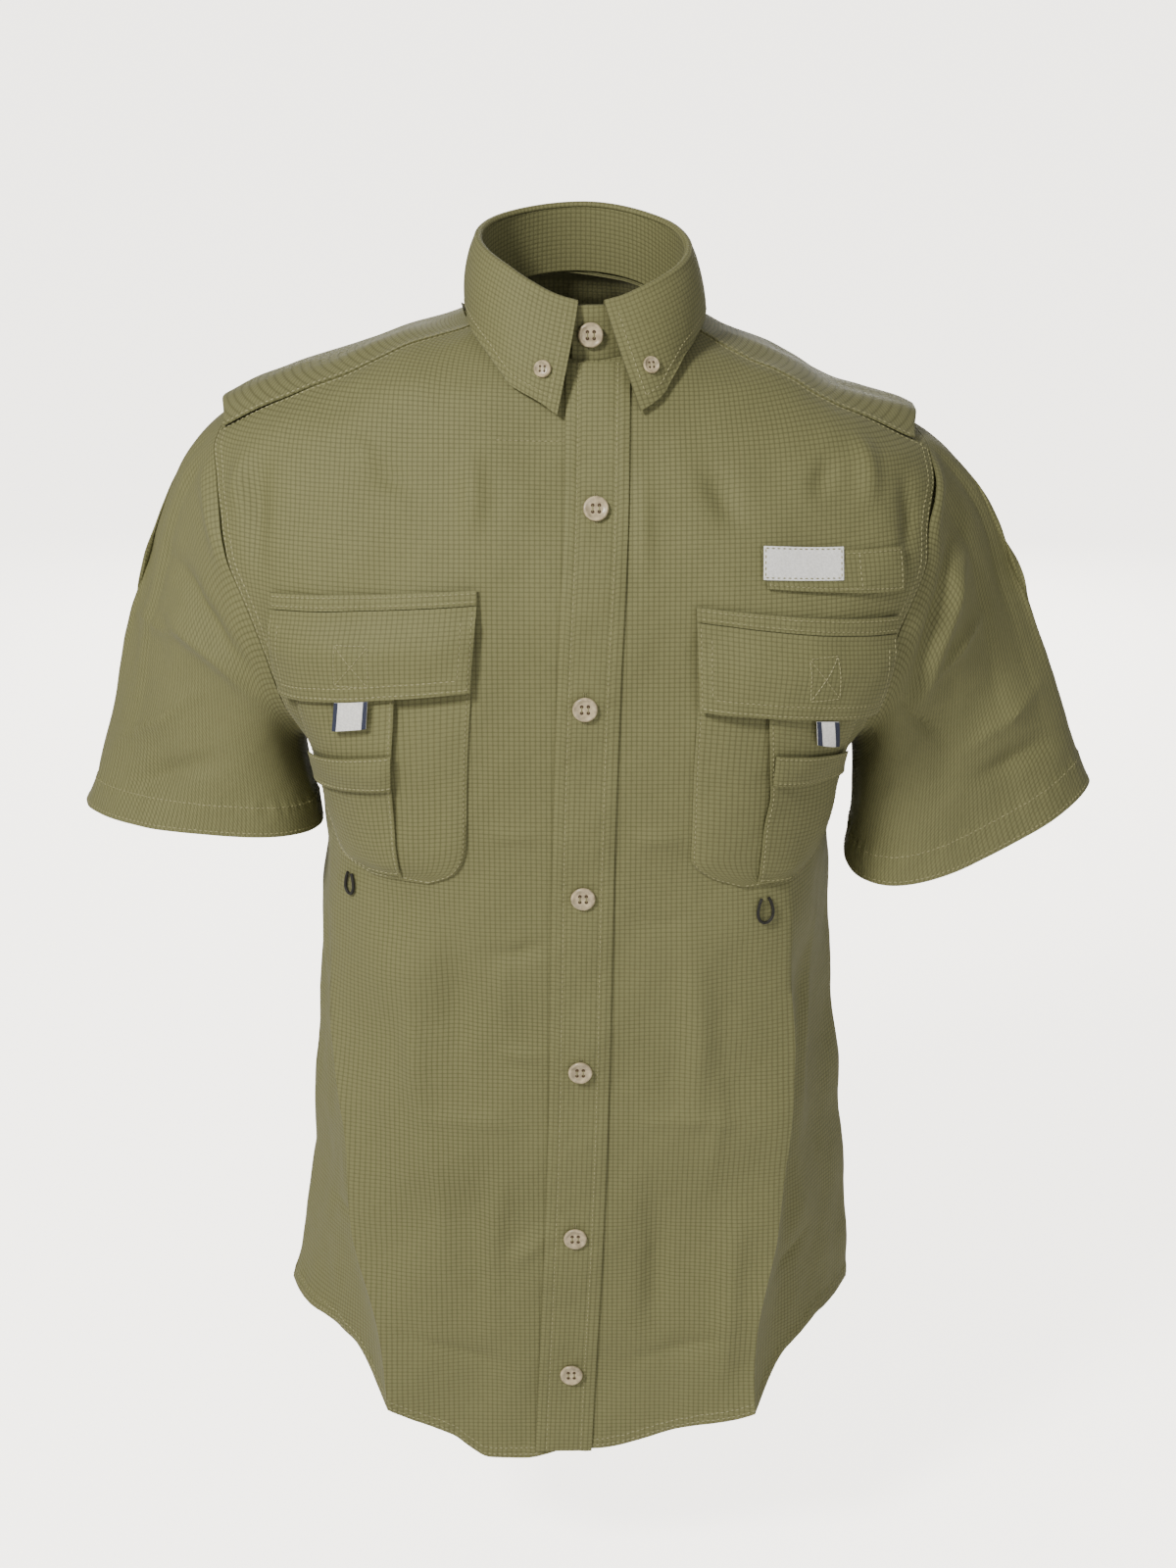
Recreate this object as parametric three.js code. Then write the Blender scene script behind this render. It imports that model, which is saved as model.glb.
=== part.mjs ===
// A short-sleeved button-down shirt with two flapped chest pockets, hollow, as it is worn.
// Millimetres, +Z up. The front faces -Y and the wearer's right side is at -X.
// The origin is the middle of the neck at the height of the shoulder points.

import * as THREE from 'three';

// Cloth and seams
const WALL = 1.6;
const SEAM = 0.35;
const LAY = 0.4;

// Places on the body
const SIDE_Y = 5;
const UNDERARM_Z = -262;
const CAPE_HEM_Z = -190;
const CAPE_LIFT = 1.9;
const RIGHT = -1;
const LEFT = 1;

// Neck seam: a circle seen from above
const NECK = { x: 3, y: -9, radius: 61 };
const NECK_CORNER = 81.5;
const NECK_FRONT_Z = -26;

// The shoulder seam bows this far forward of the straight line, and the front stops this short of it
const SHOULDER_BOW = 48;
const SHOULDER_GAP = 0.65;

// Steps of the grids of points, shared by the pieces that meet
const STEPS = {
  seam: 8,
  frontNeck: 6,
  backNeck: 14,
  frontLower: 11,
  frontArm: 11,
  backLower: 10,
  backArm: 13,
};

// Armholes: an egg seen from the side, and where the forward shoulder seam meets it
const ARMHOLE = {
  [RIGHT]: { top: -66, capeEnd: 205 },
  [LEFT]: { top: -77, capeEnd: 195 },
  front: 82,
  back: 80,
  egg: 0.3,
  round: 0.9,
  seamAngle: 0.45,
};

// The cape's corner on the armhole, and how far its loose ends and its hem lift off the back
const CAPE = {
  steps: 7,
  corner: -1.75,
  inset: 7,
  looseFrom: 0.35,
  looseOver: 0.4,
  endLift: { from: 140, over: 60, high: 6 },
  hemLift: { over: 150, high: 3.5 },
  evenOut: 1.06,
};

// Level sections of the body: half widths to the wearer's right and left, depths in front of and
// behind the side line, and how square the section is
const BODY = table(['z', 'right', 'left', 'front', 'back', 'square'], [
  [14, 2, 2, 2, 2, 2],
  [6, 40, 42, 40, 47, 2],
  [-11, 64, 60, 60, 64, 2.1],
  [-23, 99, 84, 72, 75, 2.1],
  [-34, 130, 110, 81, 83, 2.1],
  [-43, 155, 131, 87, 88, 2.15],
  [-53, 177, 148, 92, 92, 2.15],
  [-64, 199, 172, 97, 96, 2.2],
  [-74, 213, 193, 101, 99, 2.25],
  [-84, 219, 207, 106, 102, 2.35],
  [-105, 221, 216, 116, 108, 2.5],
  [-137, 219, 216, 127, 114, 2.8],
  [-164, 209, 208, 132, 117, 3],
  [-188, 200, 200, 133, 119, 3.1],
  [-218, 187, 188, 133, 120, 3.2],
  [-246, 170, 172, 132, 118, 3.2],
  [-262, 161, 163, 131, 117, 3.1],
  [-285, 156, 158, 130, 114, 3],
  [-320, 154, 154, 128, 109, 2.9],
  [-365, 158, 156, 124, 103, 2.8],
  [-431, 162, 159, 118, 99, 2.7],
  [-500, 168, 166, 112, 101, 2.6],
  [-570, 174, 173, 107, 105, 2.5],
  [-627, 184, 177, 103, 109, 2.5],
  [-650, 190, 179, 101, 111, 2.5],
  [-745, 191, 182, 96, 118, 2.6],
]);

// Shirt-tail hem: its height at each share of the way from the middle to the side seam
const HEM = table(['share', 'right', 'left', 'back'], [
  [0, -714, -714, -742],
  [0.14, -720, -712, -739],
  [0.25, -720, -706, -733],
  [0.38, -703, -697, -722],
  [0.571, -683, -686, -701],
  [0.68, -655, -659, -684],
  [0.82, -646, -645, -664],
  [1, -645, -644, -646],
]);

// Middle line of the front band, which leans to the wearer's right on its way down
const BAND_LINE = table(['z', 'x'], [
  [-20, 11],
  [-91, 10.3],
  [-198, 6],
  [-287, 3.3],
  [-485, -0.3],
  [-720, -9.5],
]);
const BAND = { width: 35.5, thick: 1.8, below: 2.5, off: 0.9 };

// The largest folds: a ridge (+) or trough (-) from one place to another on the front or back, which
// reaches its full height after one part in FOLD_START of its length
const FOLD_START = 2.5;
const FOLDS = table(['face', 'x1', 'z1', 'x2', 'z2', 'wide', 'high'], [
  [-1, -60, -500, -70, -715, 22, -3],
  [-1, 62, -480, 58, -715, 22, -3],
  [1, -70, -300, -92, -735, 20, 6],
  [1, 76, -280, 88, -735, 22, 6],
  [1, 0, -260, 4, -735, 30, -5],
  [1, -140, -330, -150, -680, 16, 5],
  [1, 138, -350, 146, -680, 16, 4],
]);

// Pressed corners: along each of these lines a front turns back towards its side seam. The cloth
// stands out there and falls in behind, and the lines lie at one share of each level section.
const CORNERS = table(['z', 'right', 'rightHigh', 'left', 'leftHigh'], [
  [-310, -150, 0, 121, 0],
  [-370, -147, 0.15, 120.5, 0.45],
  [-430, -143, 0.5, 122, 0.9],
  [-512, -134, 0.9, 120.5, 1],
  [-563, -132.5, 1, 117, 1],
  [-629, -120, 1, 107, 1],
  [-720, -113, 1, 107, 1],
]);
const CORNER = { out: 15, in: -13, front: 36, back: 0.12, share: 4 / 7, from: 100 };

// Collar: azimuth round the neck from the front, height of the fold, and place of the leaf's edge
const COLLAR = table(['azimuth', 'fold', 'edgeAzimuth', 'edgeRadius', 'edge'], [
  [-349, 5, -338.6, 85.5, -51],
  [-340, 7, -332, 85, -46],
  [-328, 11, -323, 81.5, -37.5],
  [-312, 16, -310, 75, -27],
  [-275, 26, -277.5, 68.5, -17],
  [-230, 38, -230, 71, -8],
  [-180, 45, -180, 72, -1],
  [-130, 41, -130, 71, -4],
  [-85, 33, -83, 68, -10],
  [-48, 23, -45, 76.5, -27],
  [-30, 15, -28, 82, -39],
  [-14, 8, -17, 83, -46],
  [-3, 5, -10, 84, -52.5],
]);
const STAND = { thick: 1.7, start: -366, end: 18, lean: 1.5, overlap: 3.1, below: 1.2, steps: 46 };
const LEAF = { thick: 1.6, foldRadius: 61.4, clear: 7, bow: 2.2, start: -349, end: -3, columns: 34 };
const LEAF_DROPS = [0, 0.12, 0.35, 0.68, 1];

// Sleeve hems by their outer, front, inner and back points
const CUFFS = {
  [RIGHT]: {
    outer: [-306, 10, -315],
    front: [-216, -58, -313],
    inner: [-159, 0, -321],
    back: [-240, 64, -320],
  },
  [LEFT]: {
    outer: [318, 9, -302],
    front: [206, -55, -344],
    inner: [167, 0, -334],
    back: [244, 63, -335],
  },
};

// How a sleeve leaves the armhole and arrives at its hem, at its top and at its underarm
const SLEEVE = {
  rows: 8,
  crowd: 1.3,
  reachTop: 228,
  reachUnder: 40,
  fallTop: 219,
  fallUnder: 50,
  inwardUnder: 0.25,
  outwardUnder: 0.85,
  flare: 0.49,
};

// Buttons: diameter and thickness, and the heights of those on the front band
const BUTTON = { wide: 14.2, small: 9.8, thick: 2.4, sides: 12 };
const BAND_BUTTONS = table(['x', 'z'], [
  [9.8, -102],
  [3.8, -211],
  [2.8, -326.7],
  [1.2, -440],
  [-1.8, -556],
  [-4.3, -658],
]);
const STAND_BUTTON = { azimuth: 3.6, z: -12 };
const COLLAR_BUTTONS = { right: { azimuth: -14.6, drop: 0.68 }, left: { azimuth: -337.5, drop: 0.67 } };

// Pieces that lie on a front, each as rows of an outer and an inner edge point, and how far off the
// cloth they start, how thick they are and how far they puff out
const OUTLINE = ['xOuter', 'zOuter', 'xInner', 'zInner'];
const LAID = {
  pocket_right: { off: 2.5, thick: 1.2, puff: 2.5, rows: table(OUTLINE, [
    [-166, -203, -59, -190], [-153.5, -262, -62.5, -245], [-148.5, -292, -64, -297],
    [-139, -314, -70, -313], [-120, -321.5, -86, -321.5]]) },
  side_pocket_right: { off: 6.6, thick: 1.2, puff: 1.5, rows: table(OUTLINE, [
    [-161, -206, -102, -195], [-150.5, -260, -103.5, -256], [-145.5, -290, -103, -281],
    [-134, -313, -101, -312], [-121, -318.5, -101, -318.5]]) },
  pocket_band_right: { off: 9.8, thick: 1.2, puff: 0.4, rows: table(OUTLINE, [
    [-151.5, -246.5, -103, -238], [-148.5, -268.5, -103.5, -260.5]]) },
  flap_right: { off: 8.3, thick: 1.6, puff: 2.6, rows: table(OUTLINE, [
    [-172.5, -162, -56, -153], [-172, -187, -58, -177], [-169, -213, -60, -200.5]]) },
  flap_strip_right: { off: 2.2, thick: 5.8, puff: 0, rows: table(OUTLINE, [
    [-172, -152.5, -56, -144.5], [-172.5, -161.6, -56, -152.6]]) },
  flap_tab_right: { off: 9.8, thick: 0.9, puff: 0, rows: table(OUTLINE, [
    [-133.5, -209.3, -115.5, -207.2], [-134.5, -225.5, -116.2, -222.5]]) },
  pocket_left: { off: 2.5, thick: 1.2, puff: 2.5, rows: table(OUTLINE, [
    [163, -211, 67.5, -200], [155, -258, 65, -258], [151, -290, 64.6, -303],
    [140, -316, 73, -315], [122, -326, 94, -324]]) },
  side_pocket_left: { off: 6.6, thick: 1.2, puff: 1.5, rows: table(OUTLINE, [
    [159, -214, 106, -203], [152, -258, 107, -261], [148, -290, 103.7, -286],
    [135.5, -316, 102, -316], [119, -323.5, 102, -322.5]]) },
  pocket_band_left: { off: 9.8, thick: 1.2, puff: 0.4, rows: table(OUTLINE, [
    [152, -246.5, 109.6, -239.5], [150.5, -264.5, 108, -257.5]]) },
  flap_left: { off: 8.3, thick: 1.6, puff: 2.6, rows: table(OUTLINE, [
    [180.5, -179.5, 66, -162.5], [175, -201, 66.7, -186], [169, -224, 67.5, -212]]) },
  flap_strip_left: { off: 2.2, thick: 5.8, puff: 0, rows: table(OUTLINE, [
    [182, -169, 65.7, -154], [181, -179.2, 66, -162.1]]) },
  flap_tab_left: { off: 9.8, thick: 0.9, puff: 0, rows: table(OUTLINE, [
    [143, -221.9, 131, -220.3], [144, -238.2, 131.8, -234.6]]) },
  rod_tab: { off: 1, thick: 1.2, puff: 0, rows: table(OUTLINE, [
    [182.5, -129.5, 101, -124.3], [183.6, -154.3, 105, -145.2]]) },
  label: { off: 2.6, thick: 0.8, puff: 0, rows: table(OUTLINE, [
    [148, -125.7, 102.2, -122.8], [148, -143.3, 102.2, -140.3]]) },
};

// Elastic loops below the pockets: where each hangs from, its drop, half width and thickness
const LOOPS = {
  right: { x: -132.5, z: -322, drop: 17, half: 3.2 },
  left: { x: 106, z: -327.5, drop: 20, half: 5.5 },
};
const LOOP_CORD = { radius: 0.9, sides: 8, steps: 22 };

// Colours
const CLOTH_GREEN = new THREE.MeshStandardMaterial({ color: 0x7d7a52, roughness: 0.75 });
const WOVEN_WHITE = new THREE.MeshStandardMaterial({ color: 0xe9e7e2, roughness: 0.7 });
const CORD_DARK = new THREE.MeshStandardMaterial({ color: 0x2b2a22, roughness: 0.6 });
const BUTTON_HORN = new THREE.MeshStandardMaterial({ color: 0xd8cdb4, roughness: 0.3 });

function table(columns, rows) {
  return rows.map((row) => Object.fromEntries(columns.map((column, i) => [column, row[i]])));
}

// A smooth curve through two columns of a table that never overshoots a row
function smooth(rows, key, value) {
  const sorted = [...rows].sort((a, b) => a[key] - b[key]);
  const x = sorted.map((row) => row[key]);
  const y = sorted.map((row) => row[value]);
  const step = x.slice(1).map((next, i) => next - x[i]);
  const slope = step.map((width, i) => (y[i + 1] - y[i]) / width);
  const last = x.length - 1;
  const tangent = x.map((_, i) => {
    if (i === 0) return slope[0];
    if (i === last) return slope[last - 1];
    if (slope[i - 1] * slope[i] <= 0) return 0;
    const a = 2 * step[i] + step[i - 1];
    const b = step[i] + 2 * step[i - 1];
    return (a + b) / (a / slope[i - 1] + b / slope[i]);
  });
  return (at) => {
    const v = Math.min(Math.max(at, x[0]), x[last]);
    let i = 0;
    while (i < last - 1 && x[i + 1] < v) i += 1;
    const t = (v - x[i]) / step[i];
    const rise = y[i] * (1 + 2 * t) * (1 - t) ** 2 + y[i + 1] * t * t * (3 - 2 * t);
    return rise + step[i] * t * (1 - t) * (tangent[i] * (1 - t) - tangent[i + 1] * t);
  };
}

const mix = (a, b, t) => a + (b - a) * t;
const mixPoint = (a, b, t) => a.map((value, i) => mix(value, b[i], t));
const add = (a, b, scale = 1) => a.map((value, i) => value + scale * b[i]);
const length = (a) => Math.hypot(...a);
const unit = (a) => a.map((value) => value / length(a));
const cross = (a, b) => [a[1] * b[2] - a[2] * b[1], a[2] * b[0] - a[0] * b[2], a[0] * b[1] - a[1] * b[0]];
const radians = (degrees) => (degrees * Math.PI) / 180;
const ease = (t) => {
  const clamped = Math.min(Math.max(t, 0), 1);
  return clamped * clamped * (3 - 2 * clamped);
};

const bodyRight = smooth(BODY, 'z', 'right');
const bodyLeft = smooth(BODY, 'z', 'left');
const bodyFront = smooth(BODY, 'z', 'front');
const bodyBack = smooth(BODY, 'z', 'back');
const bodySquare = smooth(BODY, 'z', 'square');
const cornerX = { [RIGHT]: smooth(CORNERS, 'z', 'right'), [LEFT]: smooth(CORNERS, 'z', 'left') };
const cornerHigh = { [RIGHT]: smooth(CORNERS, 'z', 'rightHigh'), [LEFT]: smooth(CORNERS, 'z', 'leftHigh') };
const bandX = smooth(BAND_LINE, 'z', 'x');

const halfWidth = (side, z) => (side === RIGHT ? bodyRight(z) : bodyLeft(z));
const halfDepth = (face, z) => (face < 0 ? bodyFront(z) : bodyBack(z));
const sideOf = (x) => (x < 0 ? RIGHT : LEFT);

// How far out a point is: 1 on the body's surface, less inside
function field([x, y, z]) {
  const n = bodySquare(z);
  const across = Math.abs(x) / halfWidth(sideOf(x), z);
  const deep = Math.abs(y - SIDE_Y) / halfDepth(y - SIDE_Y, z);
  return across ** n + deep ** n;
}

// Depth of the surface at one x and height, on the front (-1) or back (1) face
function surfaceY(face, x, z) {
  const n = bodySquare(z);
  const rest = 1 - (Math.abs(x) / halfWidth(sideOf(x), z)) ** n;
  return SIDE_Y + face * halfDepth(face, z) * Math.max(rest, 0) ** (1 / n);
}

// Height of the surface at one x and depth, on the shoulders and chest
function surfaceZ(x, y) {
  let inside = -130;
  let outside = 14;
  for (let i = 0; i < 40; i += 1) {
    const middle = (inside + outside) / 2;
    if (field([x, y, middle]) < 1) inside = middle;
    else outside = middle;
  }
  return inside;
}

function surfaceX(side, y, z) {
  const n = bodySquare(z);
  const rest = 1 - (Math.abs(y - SIDE_Y) / halfDepth(y - SIDE_Y, z)) ** n;
  return side * halfWidth(side, z) * Math.max(rest, 0) ** (1 / n);
}

function normalAt(point) {
  const h = 0.5;
  const slope = [0, 1, 2].map((axis) => {
    const ahead = [...point];
    const behind = [...point];
    ahead[axis] += h;
    behind[axis] -= h;
    return field(ahead) - field(behind);
  });
  return unit(slope);
}

function cornerLength(side, z) {
  const x = cornerX[side](z);
  return ringLength(side, -1, [x, surfaceY(-1, x, z), z]);
}

function cornerHeight(point) {
  const [x, y, z] = point;
  if (y >= SIDE_Y || z >= CORNERS[0].z) return 0;
  const side = sideOf(x);
  const line = cornerLength(side, z);
  const away = ringLength(side, -1, point) - line;
  const beyond = Math.min(away / (quarter(side, -1, z).total - line), 1);
  const before = CORNER.out * Math.exp(Math.min(away, 0) / CORNER.front);
  const after = CORNER.out * Math.exp(-beyond / CORNER.back) + CORNER.in * Math.sin(Math.PI * beyond);
  return cornerHigh[side](z) * (away < 0 ? before : after);
}

// Height of the folds over the smooth surface at one point
function relief(point) {
  const [x, y, z] = point;
  const face = y < SIDE_Y ? -1 : 1;
  let height = cornerHeight(point);
  for (const fold of FOLDS) {
    if (fold.face !== face) continue;
    const along = (z - fold.z1) / (fold.z2 - fold.z1);
    if (along < 0) continue;
    const away = (x - mix(fold.x1, fold.x2, Math.min(along, 1))) / fold.wide;
    height += fold.high * ease(along * FOLD_START) * Math.exp(-away * away);
  }
  return height;
}

// A point moved off the folded cloth along the smooth surface's normal
const skin = (point, off = 0) => add(point, normalAt(point), off + relief(point));

// One quarter of a level section, from the middle to the side line, measured along its length
const quarters = new Map();
function quarter(side, face, z) {
  const key = `${side} ${face} ${z.toFixed(3)}`;
  if (!quarters.has(key)) quarters.set(key, measureQuarter(side, face, z));
  return quarters.get(key);
}

function measureQuarter(side, face, z) {
  const steps = 60;
  const n = bodySquare(z);
  const at = (turn) => [
    side * halfWidth(side, z) * Math.sin(turn) ** (2 / n),
    SIDE_Y + face * halfDepth(face, z) * Math.max(Math.cos(turn), 0) ** (2 / n),
    z,
  ];
  const turns = Array.from({ length: steps + 1 }, (_, i) => (Math.PI / 2) * (i / steps) ** 1.4);
  const lengths = [0];
  for (let i = 1; i <= steps; i += 1) {
    lengths.push(lengths[i - 1] + length(add(at(turns[i]), at(turns[i - 1]), -1)));
  }
  const total = lengths[steps];
  const pointAt = (distance) => {
    const d = Math.min(distance, total);
    let i = 0;
    while (i < steps - 1 && lengths[i + 1] < d) i += 1;
    return at(mix(turns[i], turns[i + 1], (d - lengths[i]) / (lengths[i + 1] - lengths[i])));
  };
  const lengthTo = ([x, y]) => {
    const across = (Math.abs(x) / halfWidth(side, z)) ** (n / 2);
    const deep = (Math.abs(y - SIDE_Y) / halfDepth(face, z)) ** (n / 2);
    const turn = Math.atan2(across, deep);
    let i = 0;
    while (i < steps - 1 && turns[i + 1] < turn) i += 1;
    return mix(lengths[i], lengths[i + 1], (turn - turns[i]) / (turns[i + 1] - turns[i]));
  };
  return { total, pointAt, lengthTo };
}

// A place on a level section by its distance from the middle, below zero on the other side
function ringPoint(side, face, distance, z) {
  const onSide = distance < 0 ? -side : side;
  return quarter(onSide, face, z).pointAt(Math.abs(distance));
}

function ringLength(side, face, point) {
  const onSide = sideOf(point[0]);
  return onSide * side * quarter(onSide, face, point[2]).lengthTo(point);
}

// The section at one x over the shoulder, measured along its length: zero on the shoulder line, more
// towards the back, less towards the front
const overs = new Map();
function over(x) {
  const key = x.toFixed(3);
  if (!overs.has(key)) overs.set(key, measureOver(x));
  return overs.get(key);
}

function measureOver(x) {
  const ridge = surfaceZ(x, SIDE_Y);
  const branch = (face, lowest, steps) => {
    const line = [[x, SIDE_Y, ridge]];
    for (let i = 1; i <= steps; i += 1) {
      const z = mix(ridge, lowest, (1 - Math.cos((Math.PI * i) / steps)) / 2);
      line.push([x, surfaceY(face, x, z), z]);
    }
    return line;
  };
  const front = branch(-1, -125, 40);
  const back = branch(1, UNDERARM_Z, 90);
  const points = [...front.slice(1).reverse(), ...back];
  const lengths = [0];
  for (let i = 1; i < points.length; i += 1) {
    lengths.push(lengths[i - 1] + length(add(points[i], points[i - 1], -1)));
  }
  const zero = lengths[front.length - 1];
  const pointAt = (distance) => {
    const d = Math.min(Math.max(distance + zero, 0), lengths[lengths.length - 1]);
    let i = 0;
    while (i < lengths.length - 2 && lengths[i + 1] < d) i += 1;
    return mixPoint(points[i], points[i + 1], (d - lengths[i]) / (lengths[i + 1] - lengths[i]));
  };
  const lengthTo = ([, y, z]) => {
    let best = { gap: Infinity, at: 0 };
    for (let i = 0; i < points.length - 1; i += 1) {
      const run = add(points[i + 1], points[i], -1);
      const to = add([x, y, z], points[i], -1);
      const share = Math.min(Math.max((run[1] * to[1] + run[2] * to[2]) / (length(run) ** 2 || 1), 0), 1);
      const gap = length(add(to, run, -share));
      if (gap < best.gap) best = { gap, at: mix(lengths[i], lengths[i + 1], share) };
    }
    return best.at - zero;
  };
  return { pointAt, lengthTo };
}

// A place on the neck seam by its azimuth from the front, positive to the wearer's left
function neckPoint(azimuth, radius = NECK.radius) {
  const x = NECK.x + radius * Math.sin(radians(azimuth));
  const y = NECK.y - radius * Math.cos(radians(azimuth));
  return [x, y, surfaceZ(x, y)];
}

const neckAzimuth = (x) => (Math.asin((x - NECK.x) / NECK.radius) * 180) / Math.PI;

// A place on the armhole: angle 0 is its top, positive angles are in front
function armholePoint(side, angle) {
  const { top } = ARMHOLE[side];
  const middle = (top + UNDERARM_Z) / 2;
  const z = middle + (top - middle) * Math.cos(angle);
  const deep = angle > 0 ? ARMHOLE.front : ARMHOLE.back;
  const bulge = Math.abs(Math.sin(angle)) ** ARMHOLE.round * (1 - ARMHOLE.egg * Math.cos(angle));
  const y = SIDE_Y - Math.sign(angle) * deep * bulge;
  return [surfaceX(side, y, z), y, z];
}

// The forward shoulder seam from the neck (0) to the armhole (1), moved forward by a little
function shoulderSeam(side, share, forward = 0) {
  const neck = neckPoint(side * NECK_CORNER, NECK.radius + SEAM);
  const arm = armholePoint(side, ARMHOLE.seamAngle);
  const x = mix(neck[0], arm[0], share);
  const y = mix(neck[1], arm[1], share) - SHOULDER_BOW * share * (1 - share) - forward;
  return [x, y, surfaceZ(x, y)];
}

// Blends the four edges of a piece into the places between them
function coons(bottom, top, start, end) {
  return (s, t) => {
    const b = bottom(s);
    const u = top(s);
    const l = start(t);
    const r = end(t);
    const corners = [start(0), end(0), start(1), end(1)];
    return b.map((_, i) => {
      const plain = mix(mix(corners[0][i], corners[1][i], s), mix(corners[2][i], corners[3][i], s), t);
      return mix(b[i], u[i], t) + mix(l[i], r[i], s) - plain;
    });
  };
}

// A closed wall between an outer and an inner grid of points; a looped wall joins its last column to
// its first one
function wall(name, material, outer, inner, looped = false) {
  const rows = outer.length;
  const columns = outer[0].length;
  const points = [...outer.flat(), ...inner.flat()];
  const at = (layer, row, column) => layer * rows * columns + row * columns + (column % columns);
  const faces = [];
  const quad = (a, b, c, d) => faces.push(a, b, c, a, c, d);
  const steps = looped ? columns : columns - 1;
  for (let row = 0; row < rows - 1; row += 1) {
    for (let column = 0; column < steps; column += 1) {
      const corners = [[row, column], [row, column + 1], [row + 1, column + 1], [row + 1, column]];
      quad(...corners.map(([r, c]) => at(0, r, c)));
      quad(...corners.reverse().map(([r, c]) => at(1, r, c)));
    }
  }
  for (let column = 0; column < steps; column += 1) {
    quad(at(1, 0, column), at(1, 0, column + 1), at(0, 0, column + 1), at(0, 0, column));
    const row = rows - 1;
    quad(at(0, row, column), at(0, row, column + 1), at(1, row, column + 1), at(1, row, column));
  }
  if (!looped) {
    for (let row = 0; row < rows - 1; row += 1) {
      const column = columns - 1;
      quad(at(0, row, 0), at(0, row + 1, 0), at(1, row + 1, 0), at(1, row, 0));
      quad(at(1, row, column), at(1, row + 1, column), at(0, row + 1, column), at(0, row, column));
    }
  }
  return solid(name, material, points, faces);
}

// A named mesh from points and triangles, turned so that its faces point out
function solid(name, material, points, faces) {
  let volume = 0;
  for (let i = 0; i < faces.length; i += 3) {
    const [a, b, c] = [0, 1, 2].map((k) => points[faces[i + k]]);
    const turned = cross(b, c);
    volume += a[0] * turned[0] + a[1] * turned[1] + a[2] * turned[2];
  }
  const geometry = new THREE.BufferGeometry();
  geometry.setAttribute('position', new THREE.Float32BufferAttribute(points.flat(), 3));
  geometry.setIndex(volume > 0 ? faces : [...faces].reverse());
  geometry.computeVertexNormals();
  const mesh = new THREE.Mesh(geometry, material);
  mesh.name = name;
  return mesh;
}

function grid(rows, columns, place) {
  return Array.from({ length: rows + 1 }, (_, i) => (
    Array.from({ length: columns + 1 }, (__, j) => place(j / columns, i / rows))
  ));
}

// One front: a tube quarter from the hem to the underarm, then a panel up to the neck and seams
function front(name, side) {
  const hem = smooth(HEM, 'share', side === RIGHT ? 'right' : 'left');
  const edgeX = (z) => bandX(z) + (side * SEAM) / 2;
  const edgeLength = (z) => ringLength(side, -1, [edgeX(z), surfaceY(-1, edgeX(z), z), z]);
  const sideLength = (z) => quarter(side, -1, z).total - SEAM;
  const lower = (s, t) => {
    const z = mix(hem(s), UNDERARM_Z, t);
    const corner = cornerLength(side, z);
    const even = mix(edgeLength(z), sideLength(z), s);
    const cornered = s < CORNER.share
      ? mix(edgeLength(z), corner, s / CORNER.share)
      : mix(corner, sideLength(z), (s - CORNER.share) / (1 - CORNER.share));
    return ringPoint(side, -1, mix(even, cornered, ease((UNDERARM_Z - z) / CORNER.from)), z);
  };
  const neckShare = STEPS.frontNeck / (STEPS.frontNeck + STEPS.seam);
  const neckStart = side * neckAzimuth(edgeX(NECK_FRONT_Z));
  const topPoint = (s) => {
    if (s > neckShare) return shoulderSeam(side, (s - neckShare) / (1 - neckShare), SHOULDER_GAP);
    return neckPoint(side * mix(neckStart, NECK_CORNER, s / neckShare), NECK.radius + SEAM);
  };
  const flatten = (point) => [ringLength(side, -1, point), point[2]];
  const neckZ = topPoint(0)[2];
  const upper = coons(
    (s) => [mix(edgeLength(UNDERARM_Z), sideLength(UNDERARM_Z), s), UNDERARM_Z],
    (s) => flatten(topPoint(s)),
    (t) => [edgeLength(mix(UNDERARM_Z, neckZ, t)), mix(UNDERARM_Z, neckZ, t)],
    (t) => flatten(armholePoint(side, mix(Math.PI, ARMHOLE.seamAngle, t))),
  );
  const columns = STEPS.frontNeck + STEPS.seam;
  const places = [
    ...grid(STEPS.frontLower, columns, lower),
    ...grid(STEPS.frontArm, columns, (s, t) => ringPoint(side, -1, ...upper(s, t))).slice(1),
  ];
  return panel(name, places);
}

// The top edge shared by the back and the cape, from the right armhole round the neck to the left one
const BACK_COLUMNS = STEPS.backNeck + 2 * STEPS.seam;
const SEAM_SHARE = STEPS.seam / BACK_COLUMNS;
function shoulderEdge(share, radius) {
  if (share < SEAM_SHARE) return shoulderSeam(RIGHT, 1 - share / SEAM_SHARE);
  if (share > 1 - SEAM_SHARE) return shoulderSeam(LEFT, 1 - (1 - share) / SEAM_SHARE);
  const turn = (share - SEAM_SHARE) / (1 - 2 * SEAM_SHARE);
  return neckPoint(mix(-NECK_CORNER, NECK_CORNER - 360, turn), radius);
}

const flattenOver = (point) => [point[0], over(point[0]).lengthTo(point)];

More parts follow.
